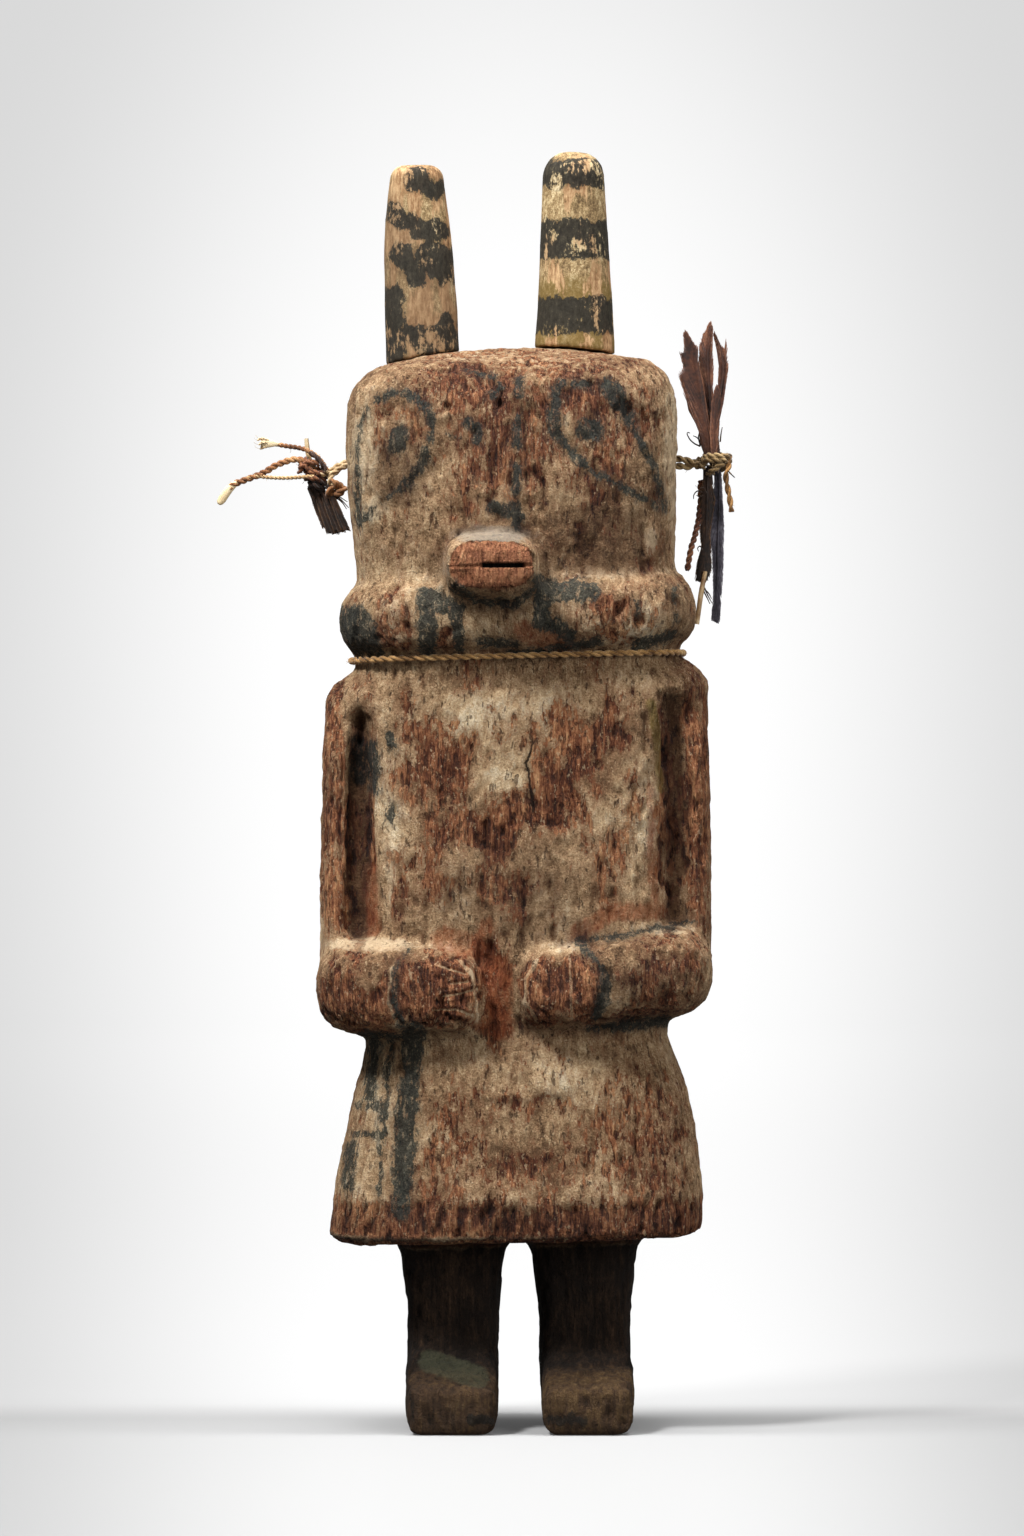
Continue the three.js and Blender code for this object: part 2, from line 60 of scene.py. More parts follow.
camera_data = bpy.data.cameras.new("camera")
camera_data.sensor_width = 36
camera_data.lens = camera_data.sensor_width * view_distance / frame_height
camera_data.clip_start = 0.05
camera_data.clip_end = 20
camera = bpy.data.objects.new("camera", camera_data)
camera.location = placed(view_side, -view_distance, view_height)
camera.rotation_euler = (math.radians(90), 0, 0)
bpy.context.scene.collection.objects.link(camera)
bpy.context.scene.camera = camera
bpy.context.scene.view_settings.view_transform = "Standard"


# Studio floor and backdrop
# A white paper sweep: flat where the doll stands, curving up behind it into a plain backdrop that is
# painted a little greyer towards its edges, as a falloff of light.
def linear(hex_colour):
    """An sRGB hex colour as linear red, green, blue and alpha."""
    channels = [int(hex_colour[i:i + 2], 16) / 255 for i in (0, 2, 4)]
    return [c / 12.92 if c <= 0.04045 else ((c + 0.055) / 1.055) ** 2.4 for c in channels] + [1]


def add_node(tree, kind, inputs=None, **settings):
    """Adds a node with its settings, and fills or links its inputs by name or number."""
    node = tree.nodes.new(kind)
    for name, value in settings.items():
        setattr(node, name, value)
    for key, value in (inputs or {}).items():
        if isinstance(value, bpy.types.NodeSocket):
            tree.links.new(value, node.inputs[key])
        else:
            node.inputs[key].default_value = value
    return node


def new_material(name):
    """An empty node material and its tree."""
    material = bpy.data.materials.new(name)
    material.use_nodes = True
    material.node_tree.nodes.clear()
    return material, material.node_tree


def mesh_object(name, mesh):
    """An object at the origin that shows this mesh."""
    thing = bpy.data.objects.new(name, mesh)
    bpy.context.scene.collection.objects.link(thing)
    return thing


def shade_smooth(mesh):
    """Shades a mesh as one smooth surface."""
    mesh.polygons.foreach_set("use_smooth", [True] * len(mesh.polygons))


sweep_half_width = 4.5
sweep_front = -4.5
sweep_bend_start = 2.5
sweep_bend_radius = 0.5
sweep_top = 4.5
sweep_bend_steps = 16
sweep_line = [(sweep_front, 0), (sweep_bend_start, 0)]
for step in range(1, sweep_bend_steps + 1):
    turn = math.radians(90) * step / sweep_bend_steps
    sweep_line.append((
        sweep_bend_start + sweep_bend_radius * math.sin(turn),
        sweep_bend_radius * (1 - math.cos(turn)),
    ))
sweep_line.append((sweep_bend_start + sweep_bend_radius, sweep_top))
sweep_points = [(side * sweep_half_width, y, z) for y, z in sweep_line for side in (-1, 1)]
sweep_faces = [(2 * i, 2 * i + 1, 2 * i + 3, 2 * i + 2) for i in range(len(sweep_line) - 1)]
sweep_mesh = bpy.data.meshes.new("paper_sweep")
sweep_mesh.from_pydata(sweep_points, [], sweep_faces)
shade_smooth(sweep_mesh)
sweep = mesh_object("paper_sweep", sweep_mesh)

# Matte white paper. In front it is lit by the studio lights, and from just behind the doll it glows as
# if lamps lit it from below, a little weaker towards the sides and top.
sweep_material, tree = new_material("matte_white_paper")
coordinates = add_node(tree, "ShaderNodeTexCoord")
position = add_node(tree, "ShaderNodeSeparateXYZ", {0: coordinates.outputs["Object"]})


def total_of(tree, terms, constant=0.0):
    """The sum of outputs, each times its own number, and a constant."""
    total = constant
    for output, factor in terms:
        total = add_node(
            tree, "ShaderNodeMath", {0: output, 1: factor, 2: total}, operation="MULTIPLY_ADD",
        ).outputs[0]
    return total


def ramp_of(tree, value, start, end, low=0.0, high=1.0):
    """A smooth change from low to high as the value goes from start to end."""
    return add_node(
        tree, "ShaderNodeMapRange",
        {"Value": value, "From Min": start, "From Max": end, "To Min": low, "To Max": high},
        interpolation_type="SMOOTHSTEP",
    ).outputs[0]


# The paper greys with its spread, which is how far a point lies to the side and above, for its depth:
# a painted falloff of light towards the sides and top, on both its colour and its glow.
side_spread = 6.64
upward_spread = 3.6
upward_spread_start = 0.74
least_depth = 0.8
depth = add_node(
    tree, "ShaderNodeMath",
    {0: total_of(tree, [(position.outputs["Y"], 1.0)], view_distance * MM), 1: least_depth},
    operation="MAXIMUM",
).outputs[0]
sideways = add_node(
    tree, "ShaderNodeMath",
    {0: total_of(tree, [(position.outputs["X"], side_spread)]), 1: depth}, operation="DIVIDE",
).outputs[0]
upward = add_node(
    tree, "ShaderNodeMath",
    {0: total_of(tree, [(position.outputs["Z"], upward_spread)], -upward_spread_start), 1: depth},
    operation="DIVIDE",
).outputs[0]
upward = add_node(tree, "ShaderNodeMath", {0: upward, 1: 0.0}, operation="MAXIMUM").outputs[0]
spread_plane = add_node(tree, "ShaderNodeCombineXYZ", {0: sideways, 1: upward})
spread = add_node(tree, "ShaderNodeVectorMath", {0: spread_plane.outputs[0]}, operation="LENGTH")
painted_light_falloff = ramp_of(tree, spread.outputs["Value"], 0.15, 0.62, 1.0, 0.68)

# The glow starts between these two distances behind the middle of the doll's box, in metres.
glow_start = 0.018
glow_end = 0.065
near_glow = ramp_of(tree, position.outputs["Y"], glow_start, glow_end, 0.05, 0.7)
far_glow = ramp_of(tree, position.outputs["Y"], -0.4, 2.4, 0.0, 0.255)
glow = total_of(tree, [(far_glow, 1.0)], near_glow)
reflecting = ramp_of(tree, position.outputs["Y"], glow_start, glow_end, 0.35, 0.125)
paper_grey = add_node(tree, "ShaderNodeMath", {0: painted_light_falloff, 1: reflecting}, operation="MULTIPLY")
paper_glow = add_node(tree, "ShaderNodeMath", {0: painted_light_falloff, 1: glow}, operation="MULTIPLY")
paper = add_node(
    tree, "ShaderNodeBsdfPrincipled",
    {"Base Color": paper_grey.outputs[0], "Roughness": 0.95, "Specular IOR Level": 0.1,
     "Emission Color": linear("ffffff"), "Emission Strength": paper_glow.outputs[0]},
)
add_node(tree, "ShaderNodeOutputMaterial", {"Surface": paper.outputs[0]})
sweep_mesh.materials.append(sweep_material)
sweep.visible_diffuse = False
sweep.visible_glossy = False


# Studio lights
# A long, narrow strip overhead, which draws the soft line of shadow behind the feet, a soft key from
# high in front on the left, a weak wide fill from the right, and a dim room.
def area_light(name, place, aim, width, depth, power):
    """A rectangular soft box at a place in metres, aimed at another, of this size and power in watts."""
    data = bpy.data.lights.new(name, "AREA")
    data.shape = "RECTANGLE"
    data.size = width
    data.size_y = depth
    data.energy = power
    light = bpy.data.objects.new(name, data)
    light.location = place
    light.rotation_euler = (Vector(aim) - Vector(place)).to_track_quat("-Z", "Y").to_euler()
    bpy.context.scene.collection.objects.link(light)


doll_middle = (0, 0, 0.17)
area_light("top_light", (0, -0.15, 1.4), doll_middle, width=1.5, depth=0.14, power=29)
area_light("key_light", (-0.98, -0.94, 1.78), doll_middle, width=0.36, depth=0.36, power=59)
area_light("fill_light", (1.3, -1.5, 0.7), doll_middle, width=1.2, depth=1.2, power=20)
room = bpy.data.worlds.new("dim_room")
room.use_nodes = True
room_light = room.node_tree.nodes["Background"]
room_light.inputs["Color"].default_value = linear("ffffff")
room_light.inputs["Strength"].default_value = 0.16
bpy.context.scene.world = room


# Carved figure
# Head, snout, ruff, body, arms, kilt, legs and feet in one piece of soft root wood, carved with a
# knife and rasp, whitened with clay and painted, and now worn through to red-brown grain.
def evaluated_mesh(thing):
    """The mesh of an object with its modifiers applied, as a plain mesh."""
    graph = bpy.context.evaluated_depsgraph_get()
    return bpy.data.meshes.new_from_object(thing.evaluated_get(graph))


def soften(thing, steps):
    """Rounds an object's edges by this many smoothing steps."""
    smoothing = thing.modifiers.new("smoothing", "SMOOTH")
    smoothing.factor = 0.5
    smoothing.iterations = steps


def remeshed(node, cell, smoothing=0):
    """An even mesh over a CAD node's form, of cells this many millimetres wide."""
    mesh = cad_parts[node].data.copy()
    work = bmesh.new()
    work.from_mesh(mesh)
    bmesh.ops.remove_doubles(work, verts=work.verts, dist=1e-6)
    work.to_mesh(mesh)
    work.free()
    mesh.materials.clear()
    rough = mesh_object(node + "_rough", mesh)
    even = rough.modifiers.new("even", "REMESH")
    even.mode = "VOXEL"
    even.voxel_size = cell * MM
    if smoothing:
        soften(rough, smoothing)
    result = evaluated_mesh(rough)
    bpy.data.objects.remove(rough)
    return result


def points_of(mesh):
    """A mesh's vertices in millimetres, and their normals."""
    places = np.empty(len(mesh.vertices) * 3)
    mesh.vertices.foreach_get("co", places)
    places = places.reshape(-1, 3) / MM + np.array(standing_point)
    normals = np.empty(len(mesh.vertices) * 3, dtype=np.float32)
    mesh.vertex_normals.foreach_get("vector", normals)
    return places, normals.reshape(-1, 3).astype(float)


def move_points(mesh, places):
    """Puts a mesh's vertices at these places in millimetres."""
    mesh.vertices.foreach_set("co", ((places - np.array(standing_point)) * MM).ravel())
    mesh.update()


def store(mesh, name, values):
    """Keeps one number for each vertex, for the material to read."""
    layer = mesh.attributes.new(name, "FLOAT", "POINT")
    layer.data.foreach_set("value", np.asarray(values, dtype=np.float32))


def lumps(points, size, seed):
    """Smooth random heights, about -1 to 1, with this many millimetres along X, Y and Z to each lump."""
    cell = points / np.asarray(size, dtype=float)
    base = np.floor(cell).astype(np.int64)
    part = cell - base
    ease = part * part * part * (part * (6 * part - 15) + 10)
    total = np.zeros(len(points))
    for corner in np.ndindex(2, 2, 2):
        key = base + np.array(corner)
        mixed = key[:, 0] * 73856093 ^ key[:, 1] * 19349663 ^ key[:, 2] * 83492791 ^ (seed * 2654435761)
        mixed = (mixed ^ (mixed >> 13)) * 1274126177
        mixed = (mixed ^ (mixed >> 16)) * 668265263
        slopes = np.column_stack([(mixed >> shift) & 0x3FF for shift in (3, 14, 25)]) / 511.5 - 1
        height = np.einsum("ij,ij->i", slopes, part - np.array(corner))
        total += height * np.prod(np.where(corner, ease, 1 - ease), axis=1)
    return 1.9 * total


def layered(points, size, seed, layers):
    """Lumps of this size with finer and weaker ones on top, each half the size of the last."""
    total = np.zeros(len(points))
    for layer in range(layers):
        total += 0.62 ** layer * lumps(points, np.asarray(size, dtype=float) / 2 ** layer, seed + layer)
    return total


def hollows(mesh, places, normals, rounds):
    """How far each vertex lies below its surroundings, in millimetres: creases are above zero."""
    ends = np.empty(len(mesh.edges) * 2, dtype=np.int64)
    mesh.edges.foreach_get("vertices", ends)
    first, second = ends.reshape(-1, 2).T
    count = np.bincount(first, minlength=len(places)) + np.bincount(second, minlength=len(places))
    level = places.copy()
    for _ in range(rounds):
        for axis in range(3):
            near = np.bincount(first, level[second, axis], len(places))
            near += np.bincount(second, level[first, axis], len(places))
            level[:, axis] = 0.4 * level[:, axis] + 0.6 * near / np.maximum(count, 1)
    return np.einsum("ij,ij->i", level - places, normals)


def front_view(places):
    """Where each place shows on a picture of the doll from the front, in millimetres."""
    nearness = view_distance / (view_distance + places[:, 1])
    across = view_side + (places[:, 0] - view_side) * nearness
    up = view_height + (places[:, 2] - view_height) * nearness
    return np.column_stack([across, up])


# The depth, in millimetres, of a place that no stroke comes near.
far_outside = -9.0


def inside_strokes(view, strokes):
    """How deep each place lies inside brush strokes, in millimetres. A stroke is (width, points)."""
    deepest = np.full(len(view), far_outside)
    for width, line in strokes:
        for start, end in zip(line[:-1], line[1:]):
            along = np.subtract(end, start)
            share = np.clip((view - start) @ along / max(along @ along, 1e-9), 0, 1)
            away = np.linalg.norm(view - (np.array(start) + share[:, None] * along), axis=1)
            deepest = np.maximum(deepest, width / 2 - away)
    return deepest


def soft_patches(view, patches):
    """Soft-edged oval patches. Each is (across, up, half width, half height, strength)."""
    total = np.zeros(len(view))
    for across, up, half_across, half_up, strength in patches:
        reach = ((view[:, 0] - across) / half_across) ** 2 + ((view[:, 1] - up) / half_up) ** 2
        total = np.maximum(total, strength * np.exp(-0.7 * reach * reach))
    return total


def fade(value, start, end):
    """0 below start, 1 above end, and smooth between."""
    share = np.clip((value - start) / (end - start), 0, 1)
    return share * share * (3 - 2 * share)


def between(value, low, high, edge):
    """1 between low and high, 0 outside them, and smooth across an edge of this half width."""
    return fade(value, low - edge, low + edge) * fade(-value, -high - edge, -high + edge)


# The mesh is coarse behind, twice as fine in front, and finer still on the snout's end and a hand.
# Each box of it, between two corners, is cut finer on the faces that look forward at least this much.
figure_mesh = remeshed("carved_figure", 1.5)
figure_cuts = (
    ((-80, -40, 46), (80, -4, 260), 0.02, 1),
    ((-80, -40, 0), (80, 8, 46), 0.3, 1),
    ((-17.5, -41, 194.5), (6, -36.5, 208.5), 0.3, 2),
    ((-25, -34, 93), (-7, -22, 115), 0.0, 1),
)
work = bmesh.new()
work.from_mesh(figure_mesh)
for low, high, least_facing, cuts in figure_cuts:
    low_point = placed(*low)
    high_point = placed(*high)
    work.normal_update()
    chosen = [
        face for face in work.faces
        if -face.normal.y > least_facing
        and all(low_point[i] < face.verts[0].co[i] < high_point[i] for i in range(3))
    ]
    edges = {edge for face in chosen for edge in face.edges}
    bmesh.ops.subdivide_edges(work, edges=list(edges), cuts=cuts, use_grid_fill=True)
bmesh.ops.triangulate(work, faces=work.faces)
work.to_mesh(figure_mesh)
work.free()
soft_figure = mesh_object("soft_figure", figure_mesh)
soften(soft_figure, 8)
figure_mesh = evaluated_mesh(soft_figure)
bpy.data.objects.remove(soft_figure)
figure_mesh.name = "carved_figure_wood"

# Where the clay coat and the paint are worn off to bare wood, seen from the front.
bare_patches = [
    (-10, 244, 13, 6, 0.75), (12, 244, 12, 6, 0.7), (24, 236, 9, 9, 0.55), (-6, 231, 9, 11, 0.62),
    (4, 234, 6, 14, 0.6), (-27, 236, 6, 6, 0.45), (18, 225, 8, 6, 0.5), (-8, 218, 8, 6, 0.4),
    (0, 252, 42, 3.5, 0.42), (-28.5, 189, 4.5, 8, 0.55), (25, 190, 11, 6, 0.58), (-17.2, 185, 2, 2.4, 0.8),
    (-15, 157, 9, 9, 0.85), (-3, 142, 12, 10, 0.95), (9.5, 150, 7, 14, 0.85), (9, 162, 9, 7, 0.6),
    (-19, 146, 6, 10, 0.7), (-9, 134, 6, 8, 0.75), (0, 127, 6, 7, 0.6), (17, 153, 5, 12, 0.62),
    (22, 132, 5, 9, 0.45), (-20, 132, 5, 7, 0.5), (14, 138, 5, 8, 0.4), (25, 165, 4, 8, 0.5),
    (-26, 160, 3, 12, 0.5), (27, 150, 3, 14, 0.4), (-28, 126, 3, 10, 0.5), (-5.3, 102, 4.4, 12, 1.0),
    (-36, 99, 13, 6.5, 0.9), (-19, 102, 10, 9, 0.85), (10, 102.5, 10, 8, 0.95), (35, 105, 9, 7, 0.55),
    (-43.5, 145, 4, 34, 0.72), (42.5, 148, 5.5, 28, 0.85), (-37.5, 129, 3.5, 20, 0.9),
    (36.5, 140, 3, 28, 0.85), (-36, 150, 3, 16, 0.8), (28, 66, 14, 15, 0.5), (-17, 62, 8, 14, 0.48),
    (1, 60, 15, 5, 0.42), (-12, 74, 6, 5, 0.35), (4, 75, 9, 3, 0.5), (16, 96, 20, 2, 0.6),
]

# Strokes of blue-black paint: the eyes with their outlines, the nose line, the blocks on the ruff,
# the wrist lines, the waist line and the stripes at the left of the kilt. The waist line and the line
# under the snout are painted shadow as well as paint, and two short lines at the bottoms of the feet
# are painted contact shadow.
black_paint_and_shade_strokes = [
    (1.3, [(-37, 212.2), (-37.6, 220), (-37.5, 228.4), (-37, 235.6), (-35.2, 239.2), (-32.5, 241.4)]),
    (2.6, [(-32.5, 241.4), (-28, 243.4), (-23.4, 241.9), (-20.3, 237.4), (-19.8, 234.7)]),
    (2.3, [(-19.8, 234.7), (-21.2, 228.4), (-23.4, 224.7), (-27, 221.2)]),
    (1.7, [(-27, 221.2), (-31.6, 217.5), (-35.2, 213.9), (-37, 212.1)]),
    (4.8, [(-28, 231.3), (-27.9, 233.2)]), (3.4, [(9.8, 244), (8.7, 239), (8.9, 234)]),
    (2.4, [(10.4, 245.2), (17.2, 245.4)]), (2.6, [(9.2, 234), (10.5, 232.6), (12.8, 229.3), (17.3, 224.9)]),
    (2.1, [(17.3, 224.9), (21.8, 222.7), (27.2, 219.7), (33.6, 216.4)]),
    (3.8, [(21.4, 245), (24.2, 241), (26.6, 236.8)]),
    (1.9, [(26.6, 236.8), (27.8, 233.8), (30.9, 228.4), (33.5, 222.1), (34.6, 215.6)]),
    (5.6, [(16.6, 234.4), (17.7, 234.6)]), (2.4, [(0.5, 246.6), (0.5, 242.6)]),
    (2.0, [(0.3, 237.6), (0.1, 230.6)]), (2.0, [(0, 225.4), (-0.2, 220)]),
    (2.6, [(-0.4, 216.6), (0.2, 211.6)]), (3.2, [(-5.4, 216.2), (-1.4, 214.8), (0.6, 213.8)]),
    (1.9, [(-11.8, 249), (-5.6, 247.6), (-3.8, 245), (-5.6, 242.2)]),
    (2.8, [(-11.4, 236.4), (-8.4, 234), (-9.4, 232)]), (1.4, [(-17.6, 233.8), (-13.4, 232)]),
    (7.5, [(-38.6, 189.4), (-37.4, 184.4)]), (4.0, [(-35.4, 188), (-33.6, 182)]),
    (4.2, [(-21.2, 195.2), (-20.8, 183)]), (3.6, [(-20.6, 194.4), (-14.2, 192)]),
    (2.6, [(-13.9, 191), (-13.6, 183)]), (1.7, [(-8, 184), (-0.2, 183.6)]),
    (4.6, [(5.8, 198), (6.2, 189.4)]), (4.6, [(6.4, 196.8), (17.4, 196.4)]),
    (3.4, [(8.8, 188.6), (12.6, 185.8)]), (1.6, [(-2, 181.9), (9, 182.6), (19, 184.6)]),
    (2.6, [(28.6, 183.8), (37, 186.4)]), (0.9, [(37.1, 197), (37.5, 189)]),
    # In the next line, the second stroke, under the snout, is painted shadow as well as paint.
    (1.0, [(28.4, 194.2), (28.8, 190)]), (1.6, [(-15, 197.4), (-9, 193.6), (-1, 193.2), (4.4, 197)]),
    (1.2, [(-25.5, 112), (-28.4, 107.7), (-29.3, 99.7), (-26.9, 93.9)]),
    (1.9, [(15, 113.8), (19.2, 109.6), (21.3, 105.6), (20.1, 99.7), (18.7, 95.5)]),
    # In the next line, the second stroke, the waist line under the right forearm, is painted shadow as well
    # as paint.
    (0.9, [(15, 114), (29.1, 116.4), (42, 118.8)]), (2.0, [(17.5, 93.4), (26.7, 94), (35.2, 95.4)]),
    (5.4, [(-24.3, 91.4), (-25.2, 80), (-26.2, 69.6), (-26.8, 58), (-27.2, 50.6)]),
    (1.4, [(-29.8, 91.4), (-30.7, 79), (-31.6, 67.5)]), (2.6, [(-33.3, 91.4), (-34, 84), (-34.9, 77.6)]),
    # In the next line, the first stroke, the waist line under the left forearm, is painted shadow as well as
    # paint.
    (1.6, [(-36.4, 92), (-24, 91.6)]), (1.5, [(-37.6, 75.3), (-30.9, 75.3)]),
    (1.5, [(-38.6, 68.8), (-31.8, 68.6)]), (3.2, [(-38.9, 65.6), (-39.8, 56.6)]),
    (1.2, [(-32.1, 65.6), (-32.5, 54.8)]), (3.0, [(-37.2, 161), (-37, 152)]),
    (2.4, [(-34.4, 160), (-34, 150)]), (1.6, [(-29.8, 162.6), (-29.8, 159.6)]),
    # In the next line, the last two strokes, along the bottoms of the feet, are painted contact shadow.
    (1.2, [(-29.4, 145), (-29.4, 143)]), (1.3, [(-11, 1.4), (-5.6, 1.2)]), (1.4, [(7.6, 1.2), (15, 1.4)]),
]

# Rust-red stains on the arms, the ruff and the hands, and an olive one on the right arm.
rust_strokes = [
    (3.0, [(-34.8, 131), (-34, 117)]), (3.6, [(14, 116), (22.7, 121), (33, 121)]),
    (5.4, [(-17, 114.6), (-8, 112.6)]), (1.4, [(31.4, 150), (32, 128)]), (1.6, [(32, 141), (32.6, 122)]),
    (4.5, [(1.8, 187), (10.4, 184)]), (6.0, [(-5, 108), (-3.6, 94)]), (2.6, [(-9, 113), (-6.6, 118)]),
    (2.2, [(-9, 94), (-4, 93)]),
]
olive_strokes = [(2.0, [(31.6, 170), (33.4, 161), (34.2, 150)])]

# Paint, stains and clear wear show where the wood faces the front. The legs start under the kilt.
places, normals = points_of(figure_mesh)
view = front_view(places)
facing = fade(-normals[:, 1], -0.25, 0.2) * fade(-places[:, 1], -2, 6)
legs = fade(-places[:, 2], -47, -45.2)
legs *= fade(1 - np.abs(normals[:, 2]) * fade(places[:, 2], 40, 43), 0.2, 0.6)
crease = hollows(figure_mesh, places, normals, 26)

# The end of the snout is a flat of bare wood, and its lower left corner is chipped.
snout_end = fade(-normals[:, 1], 0.55, 0.85) * fade(-places[:, 1], 36.5, 38)

# Patches of clay are left on the bare chest and belly, and the hem is worn bare all the way across.
coated_patches = [
    (-4.6, 154.4, 7, 6, 0.9), (-7, 147.4, 5, 3.4, 0.7), (-11, 151.4, 3, 3, 0.5), (-13, 133, 6, 4, 0.7),
    (-17.6, 161.6, 4, 2.4, 0.4), (6, 136.4, 7, 6, 0.7), (22, 146, 4, 6, 0.5),
]
ragged = view + 2.2 * np.column_stack([lumps(places, (5, 5, 9), 31), lumps(places, (5, 5, 9), 32)])
bare = (soft_patches(ragged, bare_patches) - 0.8 * soft_patches(ragged, coated_patches)) * facing
hem_worn_top = 53
hem = fade(-places[:, 2], -hem_worn_top - 5, -hem_worn_top + 4) * (1 - legs)
bare = np.maximum(bare, 0.95 * hem)
bare = np.maximum(bare, 1.3 * snout_end)
plain_wear = 0.4 + 0.22 * layered(places, (17, 17, 26), 3, 2)
bare = np.maximum(bare, (1 - facing) * np.clip(plain_wear, 0, 1))
bare = np.clip(bare - 0.9 * np.clip(crease, 0, 0.5), 0, 1.4)
speckled = facing * np.maximum(fade(places[:, 2], 204, 212), fade(-places[:, 2], -92, -84)) * (1 - legs)
speckled = np.maximum(speckled, 0.4 * facing * (1 - legs))
bare = 0.17 + 0.68 * bare + (0.2 - 0.1 * speckled) * layered(places, (9, 9, 14), 5, 4)

# Carving marks: soft knife hollows all over, a coat of clay that ends in a crust, furrows and torn
# pits along the grain, deepest where the wood is bare, and small lumps in the clay.
uncovered = fade(bare, 0.42, 0.58)
relief = (0.15 + 0.2 * facing) * layered(places, (13, 13, 20), 11, 2) - 0.22 * uncovered
furrows = layered(places, (2.2, 2.2, 15), 13, 2)
pits = layered(places, (2.3, 2.3, 5), 15, 2)
chips = layered(places, (4, 4, 8), 18, 3)
deep_furrows = np.clip(furrows - 0.1, 0, 1) * (0.45 + 0.55 * uncovered)
deep_pits = np.clip(pits - 0.35, 0, 1) * (0.6 + 0.4 * uncovered)
deep_chips = fade(chips, 0.5, 0.7)
pitted_forehead = soft_patches(view, [(2, 238, 30, 11, 1.0), (-8, 222, 12, 8, 0.7)]) * facing
carved_depth = 0.9 * deep_furrows + (1.1 + 0.5 * pitted_forehead) * deep_pits + 0.35 * deep_chips
relief -= (0.45 + 0.55 * facing) * carved_depth
relief += (1 - uncovered) * 0.2 * layered(places, (2.8, 2.8, 3.6), 17, 2)
# How low each place lies in the carved furrows, pits and chips. The material paints these low places darker,
# as dirt and as shade.
low_spots = np.clip(0.8 * deep_furrows + 1.0 * deep_pits + 0.2 * deep_chips, 0, 1)

# The crack in the chest, the finger lines, the ankle lines, the ridge of the right hand and the low
# bumps under the belly.
crack_line = [(3.9, 143.8), (3.9, 146.6), (3.4, 149.3), (2.9, 153.9), (2.2, 156), (3.6, 158.8), (3.9, 162.8)]
finger_lines = [
    (0.5, [(-18.6, 108.6), (-15, 107.4), (-11.6, 106.4)]), (0.5, [(-17.4, 101), (-13, 101.6), (-9, 102.8)]),
    (0.5, [(-19.2, 97.4), (-14.6, 97.8), (-10.4, 96.6)]), (0.4, [(-15.6, 104), (-11, 104.6)]),
]
ankle_lines = [(0.5, [(6.6, 13.6), (16, 13.8), (27, 14.6)]), (0.4, [(-24.6, 16.6), (-14, 15.4)])]
hand_ridge = [(0.9, [(10, 112.4), (12.6, 112), (12.6, 97)])]
belly_bumps = [(8.6, 80.4, 5, 3, 0.9), (-1.4, 77.2, 5.4, 1.3, 0.45)]
crack = fade(inside_strokes(view, [(0.5, crack_line)]), -0.55, 0.25)
fingers = inside_strokes(view, finger_lines)
ankles = fade(inside_strokes(view, ankle_lines), -0.6, 0.25)
relief -= facing * (1.0 * crack + 0.28 * fade(fingers, -0.5, 0.25) + 0.45 * ankles)
relief += facing * 0.16 * (fade(fingers, -1.3, -0.8) - fade(fingers, -0.8, -0.4))
relief += facing * soft_patches(view, belly_bumps)
relief += facing * 0.35 * fade(inside_strokes(view, hand_ridge), -0.5, 0.4)

# The mouth is a deep slit in the snout's end, with a thin line on each side of it.
slit_left, slit_right = -8.1, 2.1
slit_low, slit_high = 202.0, 203.1
slit_depth = 2.4
mouth_lines = [(0.3, [(-15.6, 202.2), (-8, 202.4)]), (0.3, [(2, 202.5), (4.2, 202.6)])]
in_slit = between(view[:, 1], slit_low, slit_high, 0.12) * between(view[:, 0], slit_left, slit_right, 0.15)
end_grain = lumps(places, (0.8, 3, 9), 21) + 0.7 * lumps(places, (0.45, 3, 6), 22)
snout_chips = [(-13.2, 199.9, 2.6, 1.7, 1.0), (-15.4, 204, 1.6, 1.4, 0.6)]
snout_relief = -slit_depth * in_slit - 0.45 * fade(inside_strokes(view, mouth_lines), -0.35, 0.1)
snout_relief -= 0.3 * np.clip(end_grain - 0.2, 0, 1)
snout_relief -= 0.8 * soft_patches(view, snout_chips)
relief = relief * (1 - 0.75 * snout_end) + snout_end * snout_relief

# Nothing stands below the soles: relief fades out at the floor.
relief *= fade(places[:, 2], 0.2, 2.5)
places = places + normals * relief[:, None]
places[:, 2] = np.maximum(places[:, 2], 0)
move_points(figure_mesh, places)

# The crack is drawn by the material too, from how far to the side of its line each place lies.
on_front = facing > 0.4
crack_side_limit = 4
crack_sides, crack_heights = np.array(crack_line).T
crack_offset = view[:, 0] - np.interp(view[:, 1], crack_heights, crack_sides)
crack_offset = np.clip(crack_offset, -crack_side_limit, crack_side_limit)

